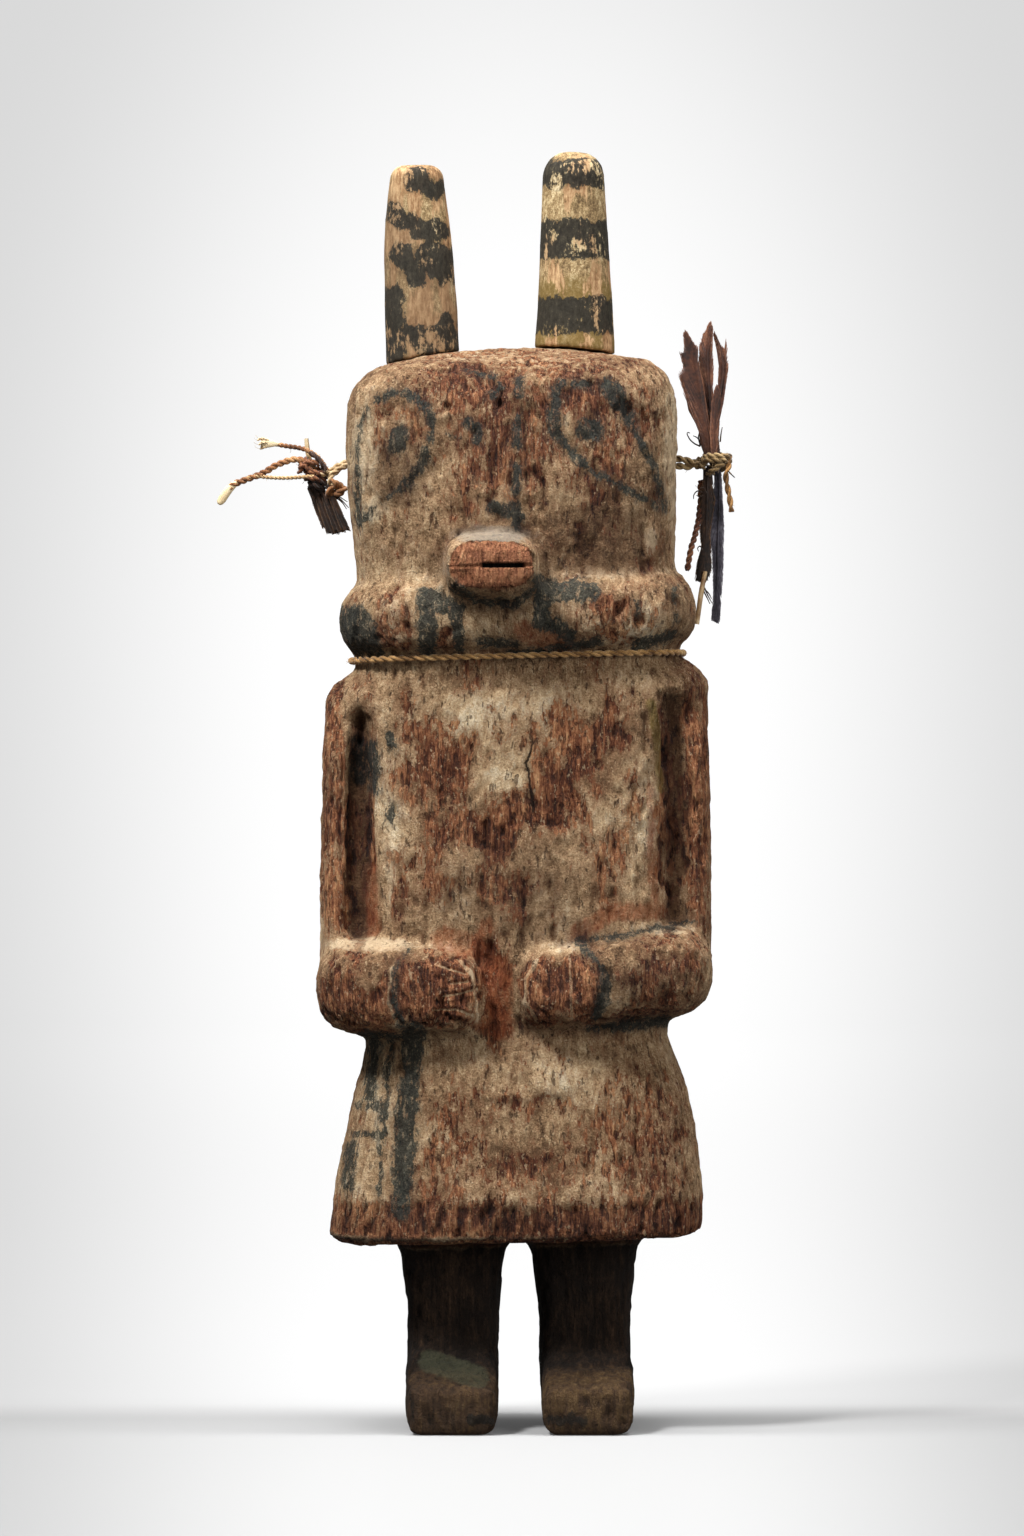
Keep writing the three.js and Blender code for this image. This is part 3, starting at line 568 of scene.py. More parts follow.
# A grey halo above the snout, and places where the clay is thick and pale or the paint has peeled.
# Among the pale patches some are painted highlights: the tops of the forearms and hands, the lit
# edges of the chest, the left edge of the head and the top ledge of the ruff. The edges of the hands
# are painted light as highlights. Then dirt, with painted shade among it: the darker right of the
# face and the right arm, the grooves beside the chest, and under the snout and the forearms.
halo_patches = [(-5.6, 209.6, 10, 2.6, 1.0), (-16.4, 203, 2.2, 6, 0.6)]
pale_and_highlight_patches = [
    (-34, 113.4, 13, 1.8, 0.8), (-20, 113, 8, 1.3, 0.5), (34, 117, 9, 1.8, 0.65), (12, 112.6, 5, 1.4, 0.5),
    (30, 146, 4.5, 12, 0.45), (-29.5, 133, 1.6, 12, 0.7), (9, 80.6, 5, 2.6, 0.35), (4, 85, 13, 6, 0.25),
    (-37, 222, 2.6, 20, 0.5), (-33, 216, 3.5, 4, 0.7), (31.6, 208, 1.6, 4, 0.7), (22, 232, 5, 5, 0.2),
    (-2, 168, 26, 6, 0.5), (-4, 152, 6, 3, 0.6), (-38, 200, 3, 4, 0.4), (25, 174, 14, 3, 0.4),
    (-30, 205, 7, 6, 0.2), (-36, 230, 4, 12, 0.7), (13, 238.6, 3, 3, 0.3), (37, 226, 3.2, 20, 0.7),
    (27, 189, 11, 6, 0.6), (-28.5, 189, 6, 7, 0.6), (20, 201, 20, 2, 0.6), (0, 252, 40, 3, 0.4),
]
hand_edge_highlights = [
    (0.9, [(-13.1, 109.8), (-10, 106), (-9.2, 100), (-9.6, 95.6)]),
    (0.9, [(4.6, 109.6), (1.8, 105), (1.7, 99.7), (4.6, 95.6)]), (0.8, [(12.7, 110), (13, 96)]),
    (0.8, [(-29.4, 108), (-30.4, 100), (-28, 94)]),
]
peeled_paint = [
    (2.2, [(16.4, 241.6), (20.8, 240), (24.2, 234.6), (26.8, 230)]),
    (1.6, [(11.6, 238.4), (12, 234.6), (15.6, 231)]), (1.8, [(15.6, 231), (20.6, 229.4), (24, 226.8)]),
]
# The pale mark is partly pale clay and partly painted highlight.
pale = soft_patches(view, pale_and_highlight_patches) + 0.35 * fade(inside_strokes(view, peeled_paint), -0.9, 0.3)
pale += 0.9 * np.maximum(fade(fingers, -0.5, 0.2), fade(inside_strokes(view, hand_edge_highlights), -0.6, 0.3))
dirt_and_shade_patches = [
    (20, 209, 15, 11, 0.95), (-6, 190, 12, 5, 0.5), (32, 106, 16, 10, 0.85), (38, 140, 7, 40, 0.6),
    (-4, 70, 12, 7, 0.4), (-37, 140, 3, 30, 0.9), (20, 215, 10, 5, 0.4), (-22, 205, 9, 7, 0.2),
    (0, 126, 26, 14, 0.75), (-43.5, 140, 4, 36, 0.5), (0, 222, 34, 22, 0.4), (-28, 224, 9, 9, 1.0),
    (8, 214, 20, 8, 0.5), (0, 94, 40, 3, 0.4), (0, 62, 34, 16, 0.3), (37, 142, 2.8, 28, 0.95),
    (30, 176, 12, 3, 0.2),
]
# The kilt is darker along the hem.
hem_darkening = 0.95 * fade(-places[:, 2], -60, -48) * (1 - legs)
dirt_and_shade = np.maximum(facing * soft_patches(view, dirt_and_shade_patches), hem_darkening)
green_strokes = [(5, [(-20.5, 15.4), (-9, 11.6)])]

# What the material reads at each point of the mesh.
figure_marks = {
    "bare": bare,
    "low": low_spots,
    "speckled": speckled,
    "crack_offset": np.where(on_front, crack_offset, crack_side_limit),
    "crack_reach": facing * fade(view[:, 1], 143, 145) * fade(-view[:, 1], -163, -160),
    "black": np.where(on_front, inside_strokes(view, black_paint_and_shade_strokes) - 0.42 * speckled, far_outside),
    "rust": facing * fade(inside_strokes(view, rust_strokes), -2.2, 0.8),
    "olive": facing * fade(inside_strokes(view, olive_strokes), -1.4, 0.4),
    "halo": facing * (1 - snout_end) * soft_patches(view, halo_patches),
    "pale": facing * np.clip(pale, 0, 1),
    "dirt_and_shade": np.clip(dirt_and_shade, 0, 1),
    "crease": np.clip(crease * 1.4, -1, 1),
    "legs": legs,
    "toes": fade(-places[:, 2], -17, -12) * fade(-places[:, 1], 9, 15),
    "verdigris": fade(inside_strokes(view, green_strokes), -1.5, 0.6),
    "snout_end": snout_end * (1 - in_slit),
    "slit": snout_end * in_slit,
}
for name, values in figure_marks.items():
    store(figure_mesh, name, values)
shade_smooth(figure_mesh)

# Clay-whitened root wood, painted and worn. Dry, dusty and matt, so it is rough with a weak gloss.
# The grain runs upright at about 1 mm, and the coat breaks along it into flakes.
figure_material, tree = new_material("worn_clay_painted_root_wood")


def place_and_marks(tree, names):
    """A point's place on a piece in millimetres, and the marks of these names that its mesh holds there."""
    coordinates = add_node(tree, "ShaderNodeTexCoord")
    in_mm = add_node(
        tree, "ShaderNodeVectorMath", {0: coordinates.outputs["Object"], "Scale": 1 / MM}, operation="SCALE",
    ).outputs[0]
    marks = {
        name: add_node(tree, "ShaderNodeAttribute", attribute_name=name).outputs["Fac"] for name in names
    }
    return in_mm, marks


def pattern(tree, place, stretch, spacing, detail, roughness):
    """Random light and dark from 0 to 1, about this many millimetres apart, stretched along an axis."""
    turned = add_node(tree, "ShaderNodeVectorMath", {0: place, 1: stretch}, operation="MULTIPLY").outputs[0]
    return add_node(
        tree, "ShaderNodeTexNoise",
        {"Vector": turned, "Scale": 1 / spacing, "Detail": detail, "Roughness": roughness},
    ).outputs["Fac"]


def coloured(tree, value, stops):
    """A colour that follows a value through stops of (position, hex colour)."""
    ramp = add_node(tree, "ShaderNodeValToRGB", {"Fac": value})
    elements = ramp.color_ramp.elements
    while len(elements) < len(stops):
        elements.new(0.5)
    for element, (position, colour) in zip(elements, stops):
        element.position = position
        element.color = linear(colour)
    return ramp.outputs["Color"]


def laid_over(tree, under, over, share, blend="MIX"):
    """One colour over another by a share."""
    mix = add_node(tree, "ShaderNodeMix", {"Factor": share}, data_type="RGBA", blend_type=blend)
    for socket, colour in ((mix.inputs[6], under), (mix.inputs[7], over)):
        if isinstance(colour, bpy.types.NodeSocket):
            tree.links.new(colour, socket)
        else:
            socket.default_value = linear(colour)
    return mix.outputs[2]


in_mm, marks = place_and_marks(tree, figure_marks)
fibre = pattern(tree, in_mm, (1, 1, 0.12), 1.1, 4, 0.6)
fine_fibre = pattern(tree, in_mm, (1, 1, 0.16), 0.45, 3, 0.65)
blotch = pattern(tree, in_mm, (1, 1, 0.7), 9, 5, 0.65)
fleck = pattern(tree, in_mm, (1, 1, 0.6), 1.7, 6, 0.72)
grit = pattern(tree, in_mm, (1, 1, 1), 0.45, 3, 0.7)
cloud = pattern(tree, in_mm, (1, 1, 1), 24, 3, 0.5)
flake = pattern(tree, in_mm, (1, 1, 0.62), 4.2, 6, 0.66)
speckle = pattern(tree, in_mm, (1, 1, 0.4), 1.5, 5, 0.7)
tear = pattern(tree, in_mm, (1, 1, 0.3), 0.95, 2, 0.5)
crumb = pattern(tree, in_mm, (1, 1, 0.8), 2.4, 3, 0.6)

# Where the coat is gone, and where it is so thin that the wood stains it. On the face and the kilt it
# goes in fine specks, elsewhere mostly in flakes.
flake_share = ramp_of(tree, marks["speckled"], 0, 1, 1.0, 0.3)
speck_share = ramp_of(tree, marks["speckled"], 0, 1, 0.0, 1.1)
flaking = add_node(
    tree, "ShaderNodeMath",
    {0: total_of(tree, [(flake, 1.0)], -0.5), 1: flake_share}, operation="MULTIPLY",
).outputs[0]
specking = add_node(
    tree, "ShaderNodeMath",
    {0: total_of(tree, [(speckle, 1.0)], -0.5), 1: speck_share}, operation="MULTIPLY",
).outputs[0]
worn_level = total_of(
    tree,
    [
        (marks["bare"], 0.95), (flaking, 1.6), (specking, 1.6), (fibre, 0.5), (fleck, 1.3),
        (marks["low"], 0.15),
    ],
    -0.88,
)
uncovered = ramp_of(tree, worn_level, 0.45, 0.51)
thinned = ramp_of(tree, worn_level, 0.05, 0.5, 0, 0.5)

# Small torn pits along the grain: more of them where the wood is bare.
tear_level = total_of(tree, [(tear, 1.0), (crumb, 0.35), (uncovered, 0.075), (marks["low"], 0.05)], -0.225)
torn = ramp_of(tree, tear_level, 0.585, 0.66)
wood_tone = total_of(
    tree,
    [
        (fibre, 0.9), (fine_fibre, 0.9), (cloud, 0.8), (fleck, 0.5), (marks["low"], -0.2),
        (marks["pale"], 0.16),
    ],
    -1.03,
)
wood_colour = coloured(
    tree, wood_tone,
    [(0.22, "33180d"), (0.38, "592f1b"), (0.5, "7b4a2f"), (0.63, "9d6845"), (0.85, "c49468")],
)
clay_tone = total_of(
    tree,
    [(fleck, 0.95), (cloud, 0.8), (grit, 0.7), (blotch, 0.7), (marks["pale"], 0.25), (marks["low"], -0.25)],
    -1.115,
)
clay_colour = coloured(
    tree, clay_tone,
    [(0.2, "5f4630"), (0.36, "8f7152"), (0.49, "b0916d"), (0.62, "cbae88"), (0.85, "eedcba")],
)
clay_colour = laid_over(tree, clay_colour, "744a31", thinned)
# The cream coat is laid where the pale mark is, so it carries that mark's painted highlights too.
cream_and_highlight_level = total_of(tree, [(marks["pale"], 1.0), (fleck, 1.2), (marks["low"], -0.5)], -0.6)
clay_colour = laid_over(tree, clay_colour, "e8d6b6", ramp_of(tree, cream_and_highlight_level, 0.35, 1.0, 0, 0.7))
colour = laid_over(tree, clay_colour, wood_colour, uncovered)
colour = laid_over(tree, colour, "2b170e", ramp_of(tree, torn, 0, 1, 0, 0.62))

# Clay dust that has settled on bare wood, laid where the pale mark is, so partly painted highlight.
settled_clay_and_highlight = ramp_of(tree, total_of(tree, [(marks["pale"], 1.0), (fleck, 0.8)], -0.4), 0.55, 0.85, 0, 0.55)
colour = laid_over(tree, colour, "c9ab86", settled_clay_and_highlight)

# Small pale specks on the raised grain: crumbs of clay left there, and painted highlights where the
# raised fibres catch the light.
pale_crumb_and_glint = pattern(tree, in_mm, (1, 1, 0.55), 0.75, 2, 0.5)
crumb_and_glint_level = total_of(tree, [(pale_crumb_and_glint, 1.0), (fleck, 0.3), (marks["low"], -0.1)], -0.15)
colour = laid_over(tree, colour, "d3b892", ramp_of(tree, crumb_and_glint_level, 0.61, 0.69, 0, 0.45))

# The bare end of the snout, and the blue-grey smear round it.
snout_tone = total_of(tree, [(fibre, 0.6), (fine_fibre, 0.6)], -0.1)
snout_colour = coloured(
    tree, snout_tone, [(0.3, "532a17"), (0.45, "935c3e"), (0.6, "b27a55"), (0.8, "d3a47b")],
)
colour = laid_over(tree, colour, snout_colour, marks["snout_end"])
halo_level = total_of(tree, [(marks["halo"], 0.9), (fleck, 1.2)], -0.75)
colour = laid_over(tree, colour, "8f8b80", ramp_of(tree, halo_level, 0.2, 0.7, 0, 0.6))

# Rust-red and olive stains soaked into the coat.
rust_level = total_of(tree, [(marks["rust"], 0.8), (fleck, 1.4), (fibre, 0.8)], -1.2)
colour = laid_over(tree, colour, "88411d", ramp_of(tree, rust_level, 0.12, 0.9, 0, 0.65))
olive_level = total_of(tree, [(marks["olive"], 0.8), (fleck, 1.2)], -0.7)
colour = laid_over(tree, colour, "6f6128", ramp_of(tree, olive_level, 0.3, 0.8, 0, 0.6))

# Blue-black paint, ragged and rubbed through on the high grain, with a grey smear beside it.
black_noise = total_of(
    tree, [(fibre, 2.2), (blotch, 2.6), (fleck, 4.6), (marks["low"], -0.5), (torn, -0.3)], -4.35,
)
black_level = total_of(tree, [(marks["black"], 0.75), (black_noise, 1.0)], 0.0)
black_share = ramp_of(tree, black_level, -0.15, 0.3, 0, 0.9)
smear_level = total_of(tree, [(marks["black"], 0.3), (black_noise, 0.5)], 0.4)
colour = laid_over(tree, colour, "3d3a31", ramp_of(tree, smear_level, -0.2, 0.7, 0, 0.34))
black_tone = total_of(tree, [(fleck, 0.9), (grit, 0.6)], -0.25)
black_colour = coloured(
    tree, black_tone, [(0.3, "141816"), (0.5, "2b302c"), (0.65, "434840"), (0.85, "736e5f")],
)
rubbed = ramp_of(tree, total_of(tree, [(fibre, 0.6), (fleck, 1.2), (grit, 0.4)], -0.5), 0.64, 0.82, 1, 0.25)
black_share = add_node(tree, "ShaderNodeMath", {0: black_share, 1: rubbed}, operation="MULTIPLY").outputs[0]
colour = laid_over(tree, colour, black_colour, black_share)

# Dark brown legs, lighter on the toes, with a grey-green smear across one instep.
leg_tone = total_of(tree, [(cloud, 0.5), (fibre, 0.5), (fleck, 0.5), (marks["low"], -0.2)], -0.25)
leg_colour = coloured(tree, leg_tone, [(0.3, "120b06"), (0.48, "1e140c"), (0.6, "332418"), (0.8, "5b4431")])
toe_colour = coloured(tree, leg_tone, [(0.3, "1e150c"), (0.48, "402e1e"), (0.6, "574229"), (0.8, "876d50")])
toe_level = total_of(tree, [(marks["toes"], 1.0), (fleck, 1.0)], -0.5)
leg_colour = laid_over(tree, leg_colour, toe_colour, ramp_of(tree, toe_level, 0.1, 0.9))
green_level = total_of(tree, [(marks["verdigris"], 1.0), (fleck, 1.6)], -0.8)
leg_colour = laid_over(tree, leg_colour, "51533f", ramp_of(tree, green_level, 0.35, 1.1, 0, 0.5))
leg_colour = laid_over(tree, leg_colour, "11100d", ramp_of(tree, black_level, -0.4, 0.3, 0, 0.85))
colour = laid_over(tree, colour, leg_colour, marks["legs"])

# Grime and painted shade darken the creases, the pits and the dirt-and-shade patches; the inside of
# the mouth slit is painted near-black as shade; and the crack in the chest is drawn with torn edges.
grime_and_shade = total_of(
    tree, [(marks["crease"], 0.6), (marks["dirt_and_shade"], 0.8), (blotch, 0.7), (marks["low"], 0.4)], -0.45,
)
colour = laid_over(tree, colour, "6d5540", ramp_of(tree, grime_and_shade, 0.15, 0.9, 0, 0.9), "MULTIPLY")
# The inside of the mouth slit is painted near-black, as shade.
colour = laid_over(tree, colour, "120b07", marks["slit"])
from_crack = total_of(tree, [(marks["crack_offset"], 1.0), (fleck, 2.2)], -1.1)
from_crack = add_node(tree, "ShaderNodeMath", {0: from_crack}, operation="ABSOLUTE").outputs[0]
open_crack = add_node(
    tree, "ShaderNodeMath",
    {0: ramp_of(tree, from_crack, 0.18, 0.42, 1, 0), 1: marks["crack_reach"]}, operation="MULTIPLY",
).outputs[0]
colour = laid_over(tree, colour, "190f09", ramp_of(tree, open_crack, 0, 1, 0, 0.9))

# Height in millimetres of what is too fine for the mesh: grain, flake edges and grit. The clay coat
# hides half of the grain.
grain = add_node(
    tree, "ShaderNodeMath",
    {0: total_of(tree, [(fibre, 1.1), (fine_fibre, 0.9)], -1.0), 1: ramp_of(tree, uncovered, 0, 1, 0.5, 1.1)},
    operation="MULTIPLY",
).outputs[0]
height = total_of(
    tree,
    [
        (uncovered, -0.34), (torn, -0.6), (grain, 1.3), (fleck, 1.3), (grit, 0.6), (crumb, 0.7),
        (open_crack, -1.5),
    ],
)
bump = add_node(tree, "ShaderNodeBump", {"Height": height, "Strength": 1.0, "Distance": MM})
dull = ramp_of(tree, uncovered, 0, 1, 0.93, 0.8)
painted = add_node(
    tree, "ShaderNodeBsdfPrincipled",
    {"Base Color": colour, "Roughness": dull, "Specular IOR Level": 0.25, "Normal": bump.outputs[0]},
)
add_node(tree, "ShaderNodeOutputMaterial", {"Surface": painted.outputs[0]})
figure_mesh.materials.append(figure_material)

figure = mesh_object("carved_figure_wood", figure_mesh)
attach(figure, "root")
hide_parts("carved_figure")


# Horns
# Two tapered wooden pegs on the crown, rasped round and painted buff. Black bands go all the way round
# the right one. The left one is worn flat on top and has lost most of its paint: ragged marks are left
# in front, and two faint bands behind.
def horn_mesh(node, seed, worn):
    """A horn's mesh with rasped relief, which holds how bare it is, and its points before the relief."""
    mesh = remeshed(node, 0.5, 4)
    places, normals = points_of(mesh)
    bare = worn + 0.45 * lumps(places, (5, 5, 12), seed) + 0.25 * lumps(places, (2.5, 2.5, 7), seed + 1)
    bare = np.clip(bare, 0, 1.2)
    furrows = lumps(places, (1.5, 1.5, 13), seed + 2) + 0.5 * lumps(places, (1.0, 1.0, 6), seed + 3)
    pits = lumps(places, (1.3, 1.3, 2.2), seed + 4)
    relief = 0.16 * lumps(places, (6, 6, 11), seed + 5) - 0.25 * np.clip(furrows - 0.3, 0, 1)
    relief -= 0.25 * np.clip(bare, 0.2, 1) * np.clip(pits - 0.4, 0, 1)
    store(mesh, "bare", bare)
    move_points(mesh, places + normals * relief[:, None])
    shade_smooth(mesh)
    return mesh, places


def band_depth(height, edges, wobble):
    """How deep a height lies inside bands given by their lower and upper edges, in millimetres."""
    deepest = np.full(len(height), far_outside)
    for low, high in edges:
        deepest = np.maximum(deepest, np.minimum(height - low, high - height))
    return deepest + wobble


right_mesh, right_places = horn_mesh("right_horn", 41, 0.22)
right_bands = [(257.2, 265.2), (274.6, 283.4), (291.4, 297.8)]
right_wobble = 0.7 * lumps(right_places, (3, 3, 3), 47)
store(right_mesh, "black", band_depth(right_places[:, 2], right_bands, right_wobble))
store(right_mesh, "yellow", fade(right_places[:, 2], 274, 266))
store(right_mesh, "faded", np.zeros(len(right_places)))
left_mesh, left_places = horn_mesh("left_horn", 51, 0.42)
left_view = front_view(left_places)
left_marks = [
    (5.0, [(-23, 293.4), (-19.6, 291.4)]), (3.4, [(-30, 285.6), (-25, 283)]),
    (4.6, [(-22.6, 281.6), (-18.4, 281.2)]), (5.0, [(-27, 275.4), (-23.4, 270.6)]),
    (8.4, [(-20, 274.6), (-16.4, 273)]), (5.0, [(-16.6, 258.6), (-15.2, 254.4)]),
    (5.0, [(-29.4, 266), (-29, 252)]), (4.0, [(-24, 257), (-20, 253)]),
]
left_back_bands = [(271, 277), (281, 285)]
left_front_end = 2
behind = np.where(left_places[:, 1] < left_front_end, 0, 3.0)
left_black = np.maximum(
    inside_strokes(left_view, left_marks) - behind,
    band_depth(left_places[:, 2], left_back_bands, -1.0) - 3.0 + behind,
)
store(left_mesh, "black", left_black + 0.8 * lumps(left_places, (2.5, 2.5, 4), 57))
store(left_mesh, "yellow", np.zeros(len(left_places)))
store(left_mesh, "faded", fade(left_places[:, 2] + 1.4 * left_places[:, 0], 262, 238))

# Buff-painted soft wood with bands of carbon black: dry and chalky, the paint worn thin along the grain.
horn_material, tree = new_material("buff_and_black_painted_wood")
in_mm, marks = place_and_marks(tree, ("bare", "black", "yellow", "faded"))
fibre = pattern(tree, in_mm, (1, 1, 0.12), 0.8, 3, 0.6)
blotch = pattern(tree, in_mm, (1, 1, 0.6), 5, 4, 0.6)
fleck = pattern(tree, in_mm, (1, 1, 0.6), 0.9, 4, 0.7)
grit = pattern(tree, in_mm, (1, 1, 1), 0.35, 2, 0.7)
worn_level = total_of(tree, [(marks["bare"], 1.0), (fibre, 0.9), (blotch, 0.8), (fleck, 0.7)], -1.2)
uncovered = ramp_of(tree, worn_level, 0.3, 0.46)
wood_tone = total_of(tree, [(fibre, 0.9), (fleck, 0.7), (blotch, 0.4)], -0.45)
wood_colour = coloured(tree, wood_tone, [(0.3, "553b27"), (0.5, "916d4a"), (0.75, "c8a67c")])
buff_tone = total_of(tree, [(fleck, 1.1), (blotch, 0.8), (grit, 0.6)], -0.75)
buff = coloured(tree, buff_tone, [(0.28, "614d33"), (0.48, "967d57"), (0.64, "c2ab81"), (0.85, "e6d5b0")])
yellow_level = total_of(tree, [(marks["yellow"], 1.0), (blotch, 0.8)], -0.4)
buff = laid_over(tree, buff, "705b2a", ramp_of(tree, yellow_level, 0.2, 0.9, 0, 0.74))
colour = laid_over(tree, buff, wood_colour, uncovered)
faded_level = total_of(tree, [(marks["faded"], 1.0), (fleck, 1.0)], -0.5)
colour = laid_over(tree, colour, "6a543e", ramp_of(tree, faded_level, 0.1, 1, 0, 0.5))
black_level = total_of(tree, [(marks["black"], 1.0), (fibre, 1.6), (blotch, 5.5), (fleck, 3.4)], -4.7)
rubbed = ramp_of(tree, total_of(tree, [(fibre, 0.4), (fleck, 0.7), (blotch, 1.2)], -0.5), 0.72, 0.84, 1, 0.15)
black_share = ramp_of(tree, black_level, -0.1, 0.35, 0, 0.97)
black_share = add_node(tree, "ShaderNodeMath", {0: black_share, 1: rubbed}, operation="MULTIPLY").outputs[0]
black_colour = coloured(tree, fleck, [(0.3, "181612"), (0.6, "302d25"), (0.85, "574f41")])
colour = laid_over(tree, colour, black_colour, black_share)
height = total_of(tree, [(uncovered, -0.07), (fibre, 0.24), (fleck, 0.2), (grit, 0.08)])
bump = add_node(tree, "ShaderNodeBump", {"Height": height, "Strength": 0.8, "Distance": MM})
horn_wood = add_node(
    tree, "ShaderNodeBsdfPrincipled",
    {"Base Color": colour, "Roughness": 0.88, "Specular IOR Level": 0.28, "Normal": bump.outputs[0]},
)
add_node(tree, "ShaderNodeOutputMaterial", {"Surface": horn_wood.outputs[0]})
for side, mesh in (("left", left_mesh), ("right", right_mesh)):
    mesh.name = side + "_horn_wood"
    mesh.materials.append(horn_material)
    horn = mesh_object(side + "_horn_wood", mesh)
    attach(horn, "root")
    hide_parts(side + "_horn")

# Neck twine
# A two-ply twine of hand-spun cotton, tied round the neck in the crease under the ruff. Each ply is
# spun from loose fibre, so it swells and thins, and stray hairs stand off it.
def new_growth(name, sizes, material_name):
    """A geometry tree with named inputs for its sizes and its material, and those inputs' sockets."""
    tree = bpy.data.node_groups.new(name, "GeometryNodeTree")
    tree.interface.new_socket(name="Geometry", in_out="INPUT", socket_type="NodeSocketGeometry")
    tree.interface.new_socket(name="Geometry", in_out="OUTPUT", socket_type="NodeSocketGeometry")
    kinds = {size: "NodeSocketFloat" for size in sizes}
    kinds[material_name] = "NodeSocketMaterial"
    sockets = {
        key: tree.interface.new_socket(name=key, in_out="INPUT", socket_type=kind)
        for key, kind in kinds.items()
    }
    return tree, sockets


def finish_growth(tree, geometry, material):
    """Ends a tree: what it repeats becomes real mesh, is shaded smooth and gets its material."""
    whole = add_node(tree, "GeometryNodeRealizeInstances", {"Geometry": geometry})
    smooth = add_node(tree, "GeometryNodeSetShadeSmooth", {"Geometry": whole.outputs[0]})
    dressed = add_node(tree, "GeometryNodeSetMaterial", {"Geometry": smooth.outputs[0], "Material": material})
    add_node(tree, "NodeGroupOutput", {"Geometry": dressed.outputs[0]})


def grown(base, tree, sockets, values):
    """The plain mesh that a tree grows on a curve or on points, which are removed."""
    growth = base.modifiers.new("growth", "NODES")
    growth.node_group = tree
    for name, value in values.items():
        growth[sockets[name].identifier] = value
    mesh = evaluated_mesh(base)
    bpy.data.objects.remove(base)
    return mesh


twine_step = 0.34
twine_tree, twine_sockets = new_growth(
    "two_ply_twine", ("Ply radius", "Lay length", "Hair length", "Hair spacing"), "Fibre",
)
tree = twine_tree
given = add_node(tree, "NodeGroupInput")
ply_radius = given.outputs["Ply radius"]
lay_length = given.outputs["Lay length"]
route = add_node(
    tree, "GeometryNodeResampleCurve", {"Curve": given.outputs["Geometry"], "Length": twine_step * MM},
    mode="LENGTH",
)
route_place = add_node(tree, "GeometryNodeSplineParameter")
across = add_node(tree, "GeometryNodeInputNormal")
ahead = add_node(tree, "GeometryNodeInputTangent")
aside = add_node(
    tree, "ShaderNodeVectorMath", {0: ahead.outputs[0], 1: across.outputs[0]}, operation="CROSS_PRODUCT",
)
turns = add_node(
    tree, "ShaderNodeMath", {0: route_place.outputs["Length"], 1: lay_length}, operation="DIVIDE",
)
swelling = add_node(tree, "ShaderNodeTexNoise", {"Scale": 420, "Detail": 2})
plies = add_node(tree, "GeometryNodeJoinGeometry")
for ply in range(2):
    angle = add_node(
        tree, "ShaderNodeMath", {0: turns.outputs[0], 1: 2 * math.pi, 2: math.pi * ply},
        operation="MULTIPLY_ADD",
    )
    shifts = []
    for trig, direction in (("COSINE", across), ("SINE", aside)):
        part = add_node(tree, "ShaderNodeMath", {0: angle.outputs[0]}, operation=trig)
        part = add_node(tree, "ShaderNodeMath", {0: part.outputs[0], 1: ply_radius}, operation="MULTIPLY")
        shift = add_node(
            tree, "ShaderNodeVectorMath", {0: direction.outputs[0], "Scale": part.outputs[0]},
            operation="SCALE",
        )
        shifts.append(shift.outputs[0])
    offset = add_node(tree, "ShaderNodeVectorMath", {0: shifts[0], 1: shifts[1]}, operation="ADD")
    kept = add_node(
        tree, "GeometryNodeStoreNamedAttribute",
        {"Geometry": route.outputs[0], "Name": "along", "Value": route_place.outputs["Length"]},
        data_type="FLOAT", domain="POINT",
    )
    moved = add_node(
        tree, "GeometryNodeSetPosition", {"Geometry": kept.outputs[0], "Offset": offset.outputs[0]},
    )
    thickness = add_node(
        tree, "ShaderNodeMapRange",
        {"Value": swelling.outputs["Fac"], "From Min": 0.3, "From Max": 0.7, "To Min": 1.0, "To Max": 1.26},
    )
    radius = add_node(
        tree, "GeometryNodeSetCurveRadius", {"Curve": moved.outputs[0], "Radius": thickness.outputs[0]},
    )
    section = add_node(tree, "GeometryNodeCurvePrimitiveCircle", {"Resolution": 8, "Radius": ply_radius})
    section_place = add_node(tree, "GeometryNodeSplineParameter")
    section_kept = add_node(
        tree, "GeometryNodeStoreNamedAttribute",
        {"Geometry": section.outputs[0], "Name": "around", "Value": section_place.outputs["Factor"]},
        data_type="FLOAT", domain="POINT",
    )
    tube = add_node(
        tree, "GeometryNodeCurveToMesh",
        {"Curve": radius.outputs[0], "Profile Curve": section_kept.outputs[0], "Scale": thickness.outputs[0],
         "Fill Caps": True},
    )
    tree.links.new(tube.outputs[0], plies.inputs[0])
hair_route = add_node(
    tree, "GeometryNodeResampleCurve",
    {"Curve": given.outputs["Geometry"], "Length": given.outputs["Hair spacing"]}, mode="LENGTH",
)
hair_points = add_node(tree, "GeometryNodeCurveToPoints", {"Curve": hair_route.outputs[0]}, mode="EVALUATED")
hair_line = add_node(
    tree, "GeometryNodeCurvePrimitiveBezierSegment",
    {
        "Resolution": 5, "Start": (0, 0, 0), "Start Handle": (0.2, 0.1, 0.5), "End Handle": (0.1, 0.5, 0.8),
        "End": (0.5, 0.6, 1),
    },
)
hair_section = add_node(tree, "GeometryNodeCurvePrimitiveCircle", {"Resolution": 3, "Radius": 0.035})
hair = add_node(
    tree, "GeometryNodeCurveToMesh",
    {"Curve": hair_line.outputs[0], "Profile Curve": hair_section.outputs[0], "Fill Caps": True},
)
half_turn = 3.14
hair_turn = add_node(
    tree, "FunctionNodeRandomValue", {0: (-half_turn,) * 3, 1: (half_turn,) * 3, "Seed": 5},
    data_type="FLOAT_VECTOR",
)
